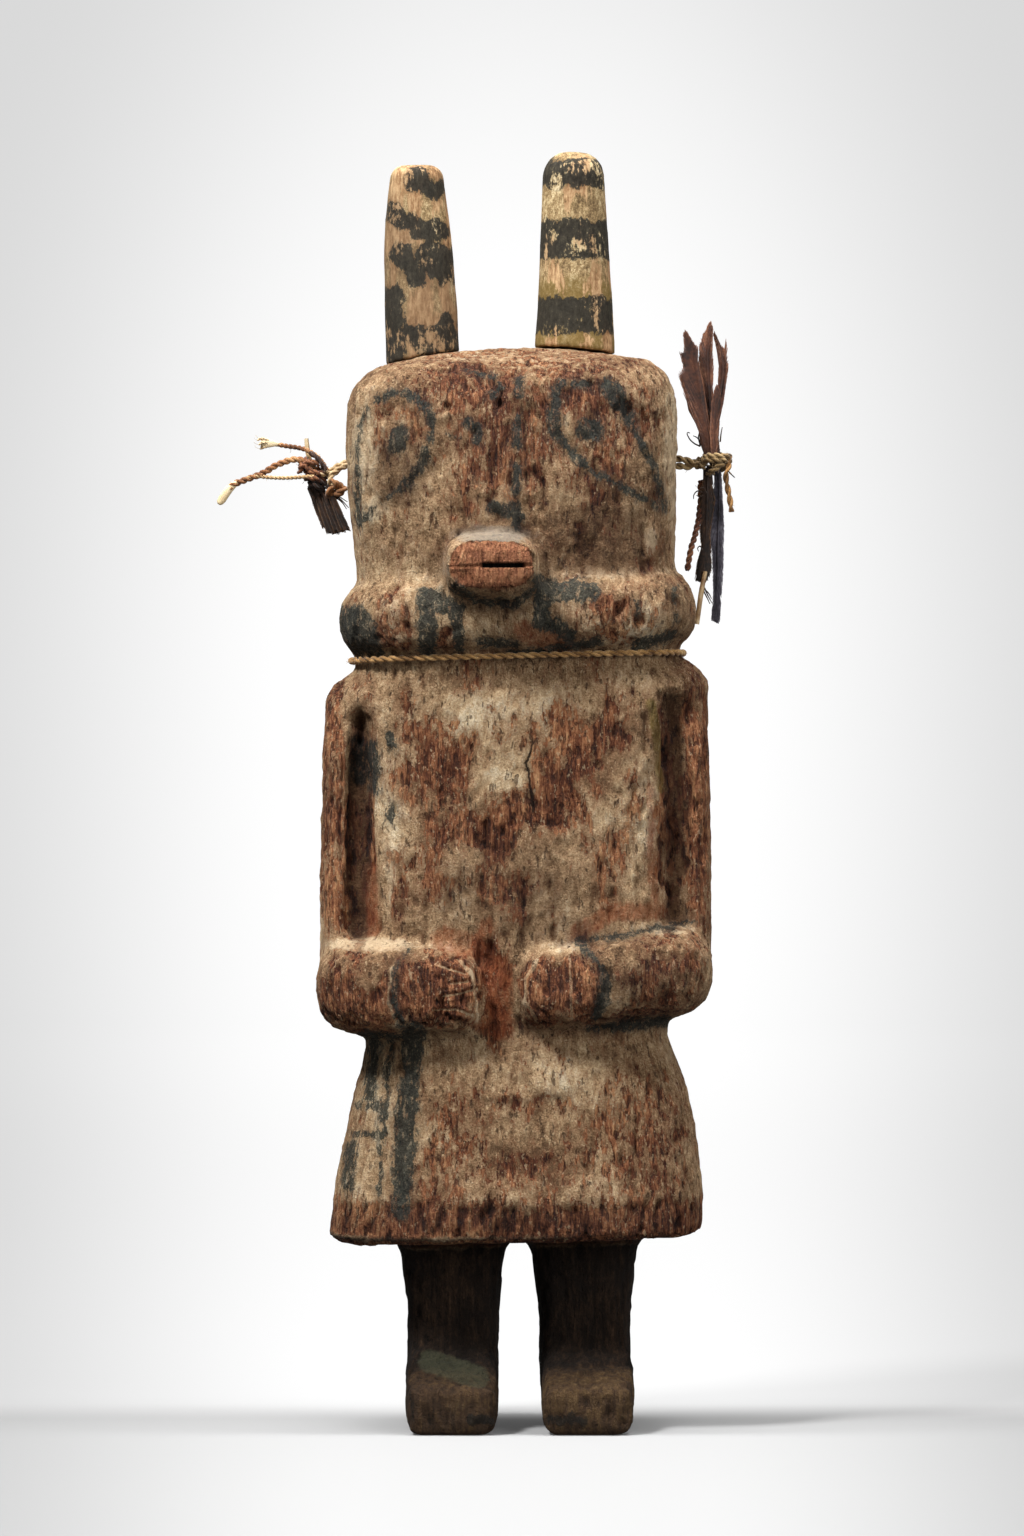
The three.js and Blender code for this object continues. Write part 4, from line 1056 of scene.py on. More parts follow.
hair_size = add_node(tree, "FunctionNodeRandomValue", {2: 0.35, 3: 1.0, "Seed": 8}, data_type="FLOAT")
hair_scale = add_node(
    tree, "ShaderNodeMath", {0: hair_size.outputs[1], 1: given.outputs["Hair length"]},
    operation="MULTIPLY",
)
hairs = add_node(
    tree, "GeometryNodeInstanceOnPoints",
    {
        "Points": hair_points.outputs[0], "Instance": hair.outputs[0], "Rotation": hair_turn.outputs[0],
        "Scale": hair_scale.outputs[0],
    },
)
tree.links.new(hairs.outputs[0], plies.inputs[0])
finish_growth(tree, plies.outputs[0], given.outputs["Fibre"])


def route_curve(name, points, cyclic=False):
    """A smooth curve object through points in millimetres."""
    data = bpy.data.curves.new(name, "CURVE")
    data.dimensions = "3D"
    data.resolution_u = 12
    spline = data.splines.new("BEZIER")
    spline.bezier_points.add(len(points) - 1)
    spline.use_cyclic_u = cyclic
    for knot, point in zip(spline.bezier_points, points):
        knot.co = placed(*point)
        knot.handle_left_type = "AUTO"
        knot.handle_right_type = "AUTO"
    curve = bpy.data.objects.new(name, data)
    bpy.context.scene.collection.objects.link(curve)
    return curve


def joined(name, meshes):
    """Several plain meshes as one, with the first one's materials."""
    if len(meshes) == 1:
        meshes[0].name = name
        return meshes[0]
    work = bmesh.new()
    for mesh in meshes:
        work.from_mesh(mesh)
    result = meshes[0].copy()
    work.to_mesh(result)
    work.free()
    result.name = name
    return result


def twisted(name, routes, diameter, fibre, lay=2.9, hair=1.3, hair_spacing=0.9):
    """Two-ply twine along routes, each (points, cyclic), as one plain mesh object.

    All is in millimetres but the lay, the length of one turn of the plies, which is in diameters.
    """
    values = {
        "Ply radius": diameter / 4 * MM, "Lay length": lay * diameter * MM, "Hair length": hair * MM,
        "Hair spacing": hair_spacing * MM, "Fibre": fibre,
    }
    meshes = []
    for points, cyclic in routes:
        curve = route_curve(name + "_route", points, cyclic)
        meshes.append(grown(curve, twine_tree, twine_sockets, values))
    return mesh_object(name, joined(name, meshes))


def fibre_material(name, dark, middle, light):
    """Spun plant fibre: dull, with fine lines that wind along each ply, painted lighter on top as highlights.
    """
    material, tree = new_material(name)
    along = add_node(tree, "ShaderNodeAttribute", attribute_name="along").outputs["Fac"]
    around = add_node(tree, "ShaderNodeAttribute", attribute_name="around").outputs["Fac"]
    wound = total_of(tree, [(around, 1.0), (along, 600.0)])
    lines = add_node(tree, "ShaderNodeCombineXYZ", {0: wound, 1: along})
    stretched = add_node(
        tree, "ShaderNodeVectorMath", {0: lines.outputs[0], 1: (9.0, 260.0, 1.0)}, operation="MULTIPLY",
    )
    strands = add_node(
        tree, "ShaderNodeTexNoise",
        {"Vector": stretched.outputs[0], "Scale": 1.0, "Detail": 3, "Roughness": 0.65},
    ).outputs["Fac"]
    coordinates = add_node(tree, "ShaderNodeTexCoord")
    stain = add_node(
        tree, "ShaderNodeTexNoise", {"Vector": coordinates.outputs["Object"], "Scale": 230, "Detail": 3},
    ).outputs["Fac"]
    # The strands are painted lighter where they stand highest, as highlights on their tops.
    tone = total_of(tree, [(strands, 0.7), (stain, 0.7)], -0.2)
    colour = coloured(tree, tone, [(0.3, dark), (0.52, middle), (0.75, light)])
    bump = add_node(tree, "ShaderNodeBump", {"Height": strands, "Strength": 0.7, "Distance": 0.12 * MM})
    body = add_node(
        tree, "ShaderNodeBsdfPrincipled",
        {"Base Color": colour, "Roughness": 0.9, "Specular IOR Level": 0.25, "Normal": bump.outputs[0],
         "Sheen Weight": 0.25, "Sheen Roughness": 0.5},
    )
    add_node(tree, "ShaderNodeOutputMaterial", {"Surface": body.outputs[0]})
    return material


# Hand-spun cotton, gone tan with age and dusty: dull, with the tops of the strands painted lighter as
# highlights.
tan_fibre = fibre_material("tan_hand_spun_cotton", "5f4022", "ae8450", "e2bf86")

# The loop follows the neck's rounded-square section, just clear of the wood, and rises to the right.
neck_diameter = 1.5
neck_clearance = 0.3 + neck_diameter / 2 + 0.15
neck_middle = (0.2, -1.4)
neck_half_width, neck_half_depth = 37.8, 22.9
neck_squareness = 2 / 3
neck_twine_height = 180.85
neck_twine_rise = 0.024
neck_steps = 64
neck_points = []
for step in range(neck_steps):
    turn = 2 * math.pi * step / neck_steps
    c, s = math.cos(turn), math.sin(turn)
    x = neck_middle[0] + math.copysign((neck_half_width + neck_clearance) * abs(c) ** neck_squareness, c)
    y = neck_middle[1] + math.copysign((neck_half_depth + neck_clearance) * abs(s) ** neck_squareness, s)
    neck_points.append((x, y, neck_twine_height + neck_twine_rise * x))
neck_twine = twisted("neck_twine", [(neck_points, True)], neck_diameter, tan_fibre, lay=3.4)
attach(neck_twine, "root")
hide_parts("neck_cord")

# Left ear twine
# Two-ply twine that comes pale and thick out of the ear hole, is knotted, and ends in two stiff
# tails. The upper one is frayed at its tip, and the lower one has a flattened, gummed tip.

# The cottons differ only in what has soaked into them: dust on the pale one, handling on the brown
# one, red-brown dye, and dark wax.
pale_fibre = fibre_material("pale_hand_spun_cotton", "8f7350", "c9ae85", "f0deba")
brown_fibre = fibre_material("brown_hand_spun_cotton", "341a0c", "8a5a35", "d2a673")
red_fibre = fibre_material("red_brown_cotton", "2a130a", "5f3520", "a06c45")
dark_fibre = fibre_material("dark_waxed_cotton", "150d08", "35221a", "5e4230")
left_tail_route = [
    (-37.5, 0, 226.3), (-41, -0.2, 225.8), (-43.6, -0.8, 223.8), (-47, -1.4, 225), (-50.9, -2, 227.2),
    (-55.6, -2.4, 226.3), (-59.9, -2.6, 223.9), (-63.6, -2.8, 222.5), (-66.6, -3, 221.2),
    (-69.7, -3.2, 217.2),
]


def winding(middle, half_sizes, turns, tilt, start=-0.8, end=0.8, steps_per_turn=10):
    """A twine's route wound round an egg-shaped bundle, tilted about Y."""
    points = []
    count = int(turns * steps_per_turn)
    for step in range(count + 1):
        share = start + (end - start) * step / count
        turn = 2 * math.pi * turns * step / count
        girth = math.sqrt(max(1 - share * share, 0.05))
        local = Vector((
            half_sizes[0] * girth * math.cos(turn), half_sizes[1] * girth * math.sin(turn),
            half_sizes[2] * share,
        ))
        points.append(tuple(Matrix.Rotation(tilt, 3, "Y") @ local + Vector(middle)))
    return points


def overhand_knot(middle, size, tilt):
    """The closed route of a pulled-up overhand knot, which is a trefoil."""
    points = []
    count = 24
    for step in range(count):
        t = 2 * math.pi * step / count
        local = Vector((
            (math.sin(t) + 2 * math.sin(2 * t)) / 3, -0.55 * math.sin(3 * t),
            (math.cos(t) - 2 * math.cos(2 * t)) / 3,
        ))
        points.append(tuple(Matrix.Rotation(tilt, 3, "Y") @ (local * size) + Vector(middle)))
    return points


def flat_end(name, line, widths, thickness, fibre, ridges=5):
    """A flattened fibre end in the XZ plane along a line, with grooves along it, this wide at each point."""
    path = np.array(line, dtype=float)
    columns = 13
    verts, faces = [], []
    for i, (point, width) in enumerate(zip(path, widths)):
        heading = path[min(i + 1, len(path) - 1)] - path[max(i - 1, 0)]
        across = np.array((-heading[2], 0, heading[0]))
        across = across / np.linalg.norm(across)
        for side in (-1, 1):
            for j in range(columns):
                u = 2 * j / (columns - 1) - 1
                rib = 0.12 * math.cos(ridges * math.pi * u)
                bulge = thickness / 2 * math.sqrt(max(1 - u * u, 0)) * (1 + rib)
                spot = point + across * (u * width / 2) + np.array((0, side * bulge, 0))
                verts.append(placed(*spot))
    ring = 2 * columns
    for i in range(len(path) - 1):
        for j in range(columns - 1):
            for low, flip in ((0, False), (columns, True)):
                near = i * ring + low + j
                far = near + ring
                quad = (near, near + 1, far + 1, far)
                faces.append(quad[::-1] if flip else quad)
    for i, flip in ((0, True), (len(path) - 1, False)):
        for j in range(columns - 1):
            near = i * ring + j
            far = near + columns
            quad = (near, near + 1, far + 1, far)
            faces.append(quad[::-1] if flip else quad)
    mesh = bpy.data.meshes.new(name)
    mesh.from_pydata(verts, [], faces)
    work = bmesh.new()
    work.from_mesh(mesh)
    bmesh.ops.remove_doubles(work, verts=work.verts, dist=2e-6)
    bmesh.ops.dissolve_degenerate(work, edges=work.edges, dist=1e-6)
    bmesh.ops.recalc_face_normals(work, faces=work.faces)
    work.to_mesh(mesh)
    work.free()
    shade_smooth(mesh)
    mesh.materials.append(fibre)
    return mesh_object(name, mesh)


# The loose ply is straw-coloured, and the gummed ends are stiff and the palest of all.
straw_fibre = fibre_material("straw_hand_spun_cotton", "7d5e3a", "b9976a", "e4cb9f")
gummed_fibre = fibre_material("gummed_cotton", "a58458", "dcc69c", "f6ead0")
left_tail = twisted(
    "left_ear_twine", [(left_tail_route[:-1] + [(-67.4, -3.05, 220.4)], False)], 1.6, brown_fibre, lay=2.0,
)
left_tongue = flat_end(
    "left_twine_gummed_tip",
    [
        (-65.6, -3, 221.9), (-66.6, -3, 221.2), (-67.6, -3.1, 220.1), (-68.5, -3.1, 218.9),
        (-69.2, -3.2, 217.8), (-69.7, -3.2, 217.1), (-69.95, -3.2, 216.7),
    ],
    [1.2, 1.7, 1.9, 2.0, 2.0, 1.6, 0.7], 1.1, gummed_fibre,
)
gummed_faces = len(left_tongue.data.polygons)
left_tail.data = joined("left_ear_twine", [left_tail.data, left_tongue.data])
left_tail.data.materials.append(gummed_fibre)
for face in left_tail.data.polygons[len(left_tail.data.polygons) - gummed_faces:]:
    face.material_index = len(left_tail.data.materials) - 1
bpy.data.objects.remove(left_tongue)
left_root = twisted(
    "left_ear_twine_root",
    [
        ([(-39.6, 0.3, 226.9), (-42.2, -0.6, 225.7), (-44.4, -1.9, 224.2), (-46.3, -2.8, 223.7)], False),
        ([(-39.6, -0.5, 226.1), (-41.8, -1.4, 225), (-43.8, -2.6, 223), (-43.6, -2.4, 221.2)], False),
    ], 1.5, pale_fibre, lay=2.6,
)
loose_ply_route = [
    (-47.6, -3.2, 223.3), (-50.5, -3.4, 223.1), (-55.5, -3.3, 222.9), (-58.7, -3, 223.1),
    (-61.6, -2.9, 223.3), (-63.4, -2.9, 222.8),
]
left_ply = twisted(
    "left_ear_twine_loose_ply", [(loose_ply_route, False)], 1.0, straw_fibre, lay=1.9, hair=0.8,
)
upper_tail_route = [
    (-44.6, -1.6, 224.8), (-45.6, -2, 226.5), (-47.1, -1.8, 228.2), (-49, -1.2, 229.4),
    (-51.1, -0.4, 230.1), (-53.7, 0, 230.5), (-56, 0.3, 230.9),
]
left_upper = twisted("left_ear_twine_upper_tail", [(upper_tail_route, False)], 1.2, brown_fibre, lay=1.8)
left_fan = flat_end(
    "left_twine_frayed_tip",
    [(-55.6, 0.3, 230.8), (-56.8, 0.4, 231.1), (-58, 0.5, 231.2), (-59.2, 0.6, 231.25), (-60.2, 0.7, 231.3)],
    [0.9, 1.3, 1.9, 2.3, 2.5], 0.6, gummed_fibre, ridges=7,
)
left_fray = twisted(
    "left_twine_frayed_strands",
    [
        ([(-58.4, 0.4, 232), (-60, 0.4, 232.4), (-61, 0.6, 231.9)], False),
        ([(-58.6, 0.6, 230.5), (-59.8, 0.7, 230.1), (-60.4, 0.8, 229.9)], False),
        ([(-58.8, 0.2, 231.4), (-60.1, 0.2, 231.3), (-60.6, 0.2, 230.8)], False),
    ], 0.6, pale_fibre, lay=3,
)

# The knot is waxed tan, a little darker where its turns bury each other.
knot_fibre = fibre_material("tan_waxed_cotton", "45291a", "93653f", "c0915f")
left_knot = twisted(
    "left_ear_knot", [(overhand_knot((-42.6, -2, 220.3), 2.1, 0.5), True)], 1.75, knot_fibre, lay=3.4,
)
left_wrap = twisted(
    "left_ear_wrap",
    [
        (winding((-48.7, -1.2, 225.4), (2.2, 1.9, 2.0), 1.7, 0.75, start=-0.7, end=0.5), False),
        (winding((-47.4, -1.3, 223.4), (2.3, 2.0, 2.4), 2.2, 0.3, start=-0.7, end=0.6), False),
        ([(-51, -1.6, 224.2), (-50.4, -2.8, 225.6), (-48.2, -3, 226.6), (-46.4, -2.4, 226)], False),
    ], 1.4, red_fibre, lay=2.6,
)
left_dark_wrap = twisted(
    "left_ear_dark_wrap",
    [
        (winding((-46.6, -1.2, 221.9), (1.9, 1.7, 2.4), 2.9, 0.6, start=-0.8, end=0.8), False),
        ([(-48.6, -2.6, 229), (-47, -2.9, 227.8), (-45.7, -3, 226.2), (-44.8, -2.8, 224.6)], False),
    ], 1.3, dark_fibre, lay=3.0,
)

# Feather stubs at the left ear
# Four feathers cut off short and square, bound in under the knot, and the pale stub of a quill. Each
# was cut right through its barbs and shaft, so it ends straight across.
feather_tree, feather_sockets = new_growth(
    "feather_barbs", ("Barb width", "Barb thickness", "Ruffle"), "Vane",
)
tree = feather_tree
given = add_node(tree, "NodeGroupInput")
barb_line = add_node(
    tree, "GeometryNodeCurvePrimitiveBezierSegment",
    {
        "Resolution": 5, "Start": (0, 0, 0), "Start Handle": (0.35, -0.04, 0.03),
        "End Handle": (0.7, -0.04, 0.02), "End": (1, 0.04, -0.02),
    },
)
barb_place = add_node(tree, "GeometryNodeSplineParameter")
barb_taper = add_node(
    tree, "ShaderNodeMapRange",
    {"Value": barb_place.outputs["Factor"], "From Min": 0.55, "From Max": 1.0, "To Min": 1.0, "To Max": 0.3},
)
barb_kept = add_node(
    tree, "GeometryNodeStoreNamedAttribute",
    {"Geometry": barb_line.outputs[0], "Name": "outward", "Value": barb_place.outputs["Factor"]},
    data_type="FLOAT", domain="POINT",
)
barb_radius = add_node(
    tree, "GeometryNodeSetCurveRadius", {"Curve": barb_kept.outputs[0], "Radius": barb_taper.outputs[0]},
)
barb_section = add_node(tree, "GeometryNodeCurvePrimitiveCircle", {"Resolution": 4, "Radius": 0.5})
barb_tube = add_node(
    tree, "GeometryNodeCurveToMesh",
    {"Curve": barb_radius.outputs[0], "Profile Curve": barb_section.outputs[0],
     "Scale": barb_taper.outputs[0], "Fill Caps": True},
)
reach = add_node(tree, "GeometryNodeInputNamedAttribute", {"Name": "reach"}, data_type="FLOAT")
lean = add_node(tree, "GeometryNodeInputNamedAttribute", {"Name": "lean"}, data_type="FLOAT")
jitter = add_node(tree, "FunctionNodeRandomValue", {2: -1.0, 3: 1.0, "Seed": 3}, data_type="FLOAT")
lift = add_node(
    tree, "ShaderNodeMath", {0: jitter.outputs[1], 1: given.outputs["Ruffle"]}, operation="MULTIPLY",
)
barb_turn = add_node(tree, "ShaderNodeCombineXYZ", {0: 0.0, 1: lean.outputs[0], 2: lift.outputs[0]})
barb_size = add_node(
    tree, "ShaderNodeCombineXYZ",
    {0: reach.outputs[0], 1: given.outputs["Barb thickness"], 2: given.outputs["Barb width"]},
)
barbs = add_node(
    tree, "GeometryNodeInstanceOnPoints",
    {
        "Points": given.outputs["Geometry"], "Instance": barb_tube.outputs[0],
        "Rotation": barb_turn.outputs[0], "Scale": barb_size.outputs[0],
    },
)
finish_growth(tree, barbs.outputs[0], given.outputs["Vane"])


def reach_to_edge(start, direction, outline):
    """How far a barb may run from the shaft before it leaves the feather's outline."""
    nearest = 0.0
    for a, b in zip(outline, outline[1:] + outline[:1]):
        edge = np.subtract(b, a)
        across = direction[0] * edge[1] - direction[1] * edge[0]
        if abs(across) < 1e-9:
            continue
        offset = np.subtract(a, start)
        run = (offset[0] * edge[1] - offset[1] * edge[0]) / across
        share = (offset[0] * direction[1] - offset[1] * direction[0]) / across
        if 0 <= share <= 1 and run > 0.05 and (nearest == 0.0 or run < nearest):
            nearest = run
    return nearest


def bent(mesh, shaft, cup):
    """Cups a feather: pushes its vane forward with the square of the distance from the shaft."""
    places, _ = points_of(mesh)
    away = -inside_strokes(places[:, [0, 2]], [(0, shaft)])
    places[:, 1] += cup * away * away
    move_points(mesh, places)


def curled(y, z, root_height, curl):
    """How far back a feather stands at a height: 30 mm from its root, it has curled back by this much."""
    away = abs(z - root_height) / 30
    return y + curl * away * away


def blade_sheet(name, outline, shaft, y, curl, cup, vane, inset=0.28):
    """The thin web of a feather, a little inside its outline, row by row across its shaft."""
    row_spacing = 0.45
    columns = 7
    heights = [z for _, z in outline]
    low, high = min(heights) + 0.3, max(heights) - 0.5
    rows = max(4, int((high - low) / row_spacing))
    line = sorted((z, x) for x, z in shaft)
    root_height = shaft[0][1]
    verts = []
    for row in range(rows + 1):
        z = low + (high - low) * row / rows
        crossings = sorted(
            a[0] + (b[0] - a[0]) * (z - a[1]) / (b[1] - a[1])
            for a, b in zip(outline, outline[1:] + outline[:1]) if (a[1] - z) * (b[1] - z) < 0
        )
        rib = np.interp(z, [p[0] for p in line], [p[1] for p in line])
        spans = list(zip(crossings[::2], crossings[1::2]))
        left, right = min(spans, key=lambda span: abs((span[0] + span[1]) / 2 - rib)) if spans else (rib, rib)
        edge = min(inset, 0.4 * (right - left))
        for column in range(columns):
            x = left + edge + (right - left - 2 * edge) * column / (columns - 1)
            verts.append(placed(x, curled(y, z, root_height, curl), z))
    faces = [
        (r * columns + c, r * columns + c + 1, (r + 1) * columns + c + 1, (r + 1) * columns + c)
        for r in range(rows) for c in range(columns - 1)
    ]
    mesh = bpy.data.meshes.new(name + "_rows")
    mesh.from_pydata(verts, [], faces)
    bent(mesh, shaft, cup)
    flat = mesh_object(name + "_rows", mesh)
    thick = flat.modifiers.new("thick", "SOLIDIFY")
    thick.thickness = 0.16 * MM
    thick.offset = 0
    result = evaluated_mesh(flat)
    bpy.data.objects.remove(flat)
    result.name = name
    shade_smooth(result)
    result.materials.append(vane)
    return mesh_object(name, result)


def feather(
    name, outline, shaft, y, curl, vane, seed, angle=20, spacing=0.2, ruffle=0.05, cup=0.0, torn=0.05,
):
    """The barbs of a feather, at an angle to its shaft and out to its torn outline."""
    chance = np.random.default_rng(seed)
    shaft_points = np.array(shaft, dtype=float)
    pieces = np.linalg.norm(np.diff(shaft_points, axis=0), axis=1)
    marks_along = np.concatenate([[0], np.cumsum(pieces)])
    count = max(6, int(marks_along[-1] / spacing))
    points, reaches, leans = [], [], []
    root_height = shaft_points[0][1]
    shortest_barb = 0.15
    for step in range(count):
        distance = marks_along[-1] * (step + 0.5) / count
        x, z = (np.interp(distance, marks_along, shaft_points[:, i]) for i in (0, 1))
        x2, z2 = (np.interp(distance + 0.4, marks_along, shaft_points[:, i]) for i in (0, 1))
        # The last barbs keep the heading of the ones before them.
        if (x2, z2) != (x, z):
            heading = math.atan2(z2 - z, x2 - x)
        for side in (-1, 1):
            turn = heading + side * math.radians(angle + chance.normal(0, 2))
            direction = (math.cos(turn), math.sin(turn))
            run = reach_to_edge((x, z), direction, outline)
            if run <= shortest_barb:
                continue
            run *= 1 - abs(chance.normal(0, torn))
            depth = curled(y, z, root_height, curl) + chance.normal(0, 0.03)
            points.append(placed(x, depth, z))
            reaches.append(run * MM)
            leans.append(-turn)
    mesh = bpy.data.meshes.new(name + "_points")
    mesh.from_pydata(points, [], [])
    for key, values in (("reach", reaches), ("lean", leans)):
        store(mesh, key, values)
    values = {"Barb width": 0.34 * MM, "Barb thickness": 0.26 * MM, "Ruffle": ruffle, "Vane": vane}
    barb_mesh = grown(mesh_object(name + "_points", mesh), feather_tree, feather_sockets, values)
    bent(barb_mesh, shaft, cup)
    barb_mesh.name = name
    return mesh_object(name, barb_mesh)


def quill(name, points, widths, material):
    """A tapered horny quill along points in millimetres, with this radius at each point."""
    curve = route_curve(name + "_line", points)
    curve.data.bevel_depth = MM
    curve.data.bevel_resolution = 3
    curve.data.use_fill_caps = True
    for knot, width in zip(curve.data.splines[0].bezier_points, widths):
        knot.radius = width
    mesh = evaluated_mesh(curve)
    bpy.data.objects.remove(curve)
    mesh.name = name
    mesh.materials.clear()
    mesh.materials.append(material)
    shade_smooth(mesh)
    return mesh_object(name, mesh)


def vane_material(name, root, middle, tip):
    """Feather vane: thin dull keratin, darker and lighter from barb to barb, with a weak silky gloss."""
    material, tree = new_material(name)
    coordinates = add_node(tree, "ShaderNodeTexCoord")
    outward = add_node(tree, "ShaderNodeAttribute", attribute_name="outward").outputs["Fac"]
    streak = add_node(
        tree, "ShaderNodeTexNoise", {"Vector": coordinates.outputs["Object"], "Scale": 1300, "Detail": 2},
    ).outputs["Fac"]
    patch = add_node(
        tree, "ShaderNodeTexNoise", {"Vector": coordinates.outputs["Object"], "Scale": 160, "Detail": 3},
    ).outputs["Fac"]
    tone = total_of(tree, [(outward, 0.3), (streak, 0.45), (patch, 0.7)], -0.15)
    colour = coloured(tree, tone, [(0.3, root), (0.55, middle), (0.8, tip)])
    body = add_node(
        tree, "ShaderNodeBsdfPrincipled",
        {"Base Color": colour, "Roughness": 0.62, "Specular IOR Level": 0.35, "Sheen Weight": 0.15},
    )
    add_node(tree, "ShaderNodeOutputMaterial", {"Surface": body.outputs[0]})
    return material


# The stubs and the hanging stump are almost black, the tall blades red-brown, and one blade slate.
dark_vane = vane_material("dark_brown_feather", "150b05", "3c2617", "785637")
brown_vane = vane_material("red_brown_feather", "240f06", "502a17", "86573c")
slate_vane = vane_material("slate_feather", "262229", "4a4650", "7f7a84")

# Dry quill: pale, horny and slightly glossy.
quill_material, tree = new_material("dry_quill")
coordinates = add_node(tree, "ShaderNodeTexCoord")
stain = add_node(
    tree, "ShaderNodeTexNoise", {"Vector": coordinates.outputs["Object"], "Scale": 400, "Detail": 3},
).outputs["Fac"]
horn_colour = coloured(tree, stain, [(0.3, "7d5b3a"), (0.5, "b3946a"), (0.7, "dcc8a2")])
horny = add_node(tree, "ShaderNodeBsdfPrincipled", {"Base Color": horn_colour, "Roughness": 0.45})
add_node(tree, "ShaderNodeOutputMaterial", {"Surface": horny.outputs[0]})

# The ribs of the stubs: the same keratin as the vane, browner and without barbs.
dark_quill_material = vane_material("brown_quill", "1a0e08", "4d3220", "8a6a48")


def cut_stub(start, end, width):
    """The outline and shaft of a feather cut off short, from where it is bound to its cut end."""
    along = np.subtract(end, start)
    along = along / np.linalg.norm(along)
    across = np.array((-along[1], along[0])) * width / 2
    start, end = np.array(start), np.array(end)
    outline = [start - 0.6 * across, end - across - 1.4 * along, end + across, start + 0.6 * across]
    return [tuple(p) for p in outline], [tuple(start), tuple(end - 0.6 * along)]


left_stubs = [
    ((-48.9, 221.2), (-43.9, 210.6), 2.8, 0.9), ((-47.6, 221.4), (-42.8, 209.2), 3, -0.3),
    ((-46.2, 221.4), (-41.2, 209.6), 2.8, -1.5), ((-44.5, 221.2), (-39.9, 210), 2.2, -2.7),
]
left_twines = [
    left_tail, left_root, left_ply, left_upper, left_fan, left_fray, left_knot, left_wrap, left_dark_wrap,
]
left_pieces = left_twines[1:]
for number, (start, end, width, y) in enumerate(left_stubs, 1):
    outline, shaft = cut_stub(start, end, width)
    barbs = feather(
        f"left_stub_{number}_barbs", outline, shaft, y, -1, dark_vane, 60 + number, angle=12, cup=0.16,
    )
    web = blade_sheet(f"left_stub_{number}_web", outline, shaft, y, -1, 0.16, dark_vane)
    rib_line = [(x, y - 0.15, z) for x, z in shaft]
    rib = quill(f"left_stub_{number}_rib", rib_line, [0.42, 0.36], dark_quill_material)
    for piece in (barbs, web, rib):
        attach(piece, "root")
        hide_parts(f"left_feather_{number}")
        left_pieces.append(piece)


def wisps(name, lines):
    """Hair-thin dark bits of barb along these lines, as one object."""
    strands = [quill(name, line, np.linspace(0.2, 0.09, len(line)), dark_vane) for line in lines]
    meshes = [strand.data for strand in strands]
    for strand in strands:
        bpy.data.objects.remove(strand)
    return mesh_object(name, joined(name, meshes))


left_wisps = wisps("left_feather_wisps", [
    [(-43, -2.6, 219.4), (-41.4, -2.6, 218.4), (-39.7, -2.4, 217.3)],
    [(-42.6, -2.8, 219), (-40.8, -2.8, 217.4), (-39.4, -2.6, 215.9)],
    [(-42.8, -2.4, 218.6), (-41, -2.6, 217.2), (-39.9, -2.6, 215.6)],
])
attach(left_wisps, "root")
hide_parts("left_feather_4")
left_pieces.append(left_wisps)
left_quill = quill(
    "left_quill_stub", [(-48.6, 1.6, 226.6), (-49.2, 1.7, 229.6), (-49.5, 1.8, 232.4)], [0.6, 0.6, 0.5],
    quill_material,
)
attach(left_quill, "root")
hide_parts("left_quill")
left_pieces.append(left_quill)
for piece in left_twines:
    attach(piece, "root")
    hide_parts("left_ear_cord")


# Right ear twine
# Tan two-ply twine that comes out of the ear hole in two strands, is knotted, and is wound round the
# quills of the feathers, with one short tail.

# Hand-spun cotton, greyed by grime at the knot, and waxed brown on the tail.
grimy_fibre = fibre_material("grimy_hand_spun_cotton", "453320", "8a7049", "c0a578")
tail_fibre = fibre_material("brown_waxed_cotton", "43290f", "8b6336", "bd9058")
right_strands = twisted(
    "right_ear_twine",
    [
        ([(35, 0, 227), (38.4, -0.9, 227.5), (40.4, -1.3, 227), (42.9, -0.8, 226.4)], False),
        ([(35, 0, 225.7), (38.4, -0.3, 225.8), (40.4, -0.4, 225.7), (42.9, -0.8, 226.7)], False),
        ([(42.9, -0.8, 226.4), (44.6, -1.8, 227), (46.4, -2.7, 227.8)], False),
    ], 1.65, grimy_fibre, lay=2.6,
)
right_tail_route = [
    (50, -1.2, 227.9), (49.9, -2.5, 226), (49.2, -2.9, 223.8), (49.4, -2.8, 221.5), (50, -2.6, 218.6),
    (50.5, -2.6, 215),
]
right_tail = twisted("right_ear_twine_tail", [(right_tail_route, False)], 1.4, tail_fibre, lay=4.0)
right_knot = twisted(
    "right_ear_knot", [(overhand_knot((43.2, -1, 226.4), 1.2, 1.2), True)], 1.35, grimy_fibre, lay=2.2,
)
right_wrap = twisted(
    "right_ear_wrap",
    [
        (
            winding((47.2, -0.9, 227.5), (2.9, 2.5, 2.6), 2.3, 0.1, start=-0.42, end=0.42, steps_per_turn=14),
            False,
        ),
        (
            winding((47.2, -0.9, 225.4), (2.5, 2.2, 2.4), 1.4, -0.5, start=-0.4, end=0.4, steps_per_turn=14),
            False,
        ),
    ], 1.5, grimy_fibre, lay=2.6,
)
for piece in (right_strands, right_tail, right_knot, right_wrap):
    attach(piece, "root")
    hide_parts("right_ear_cord")

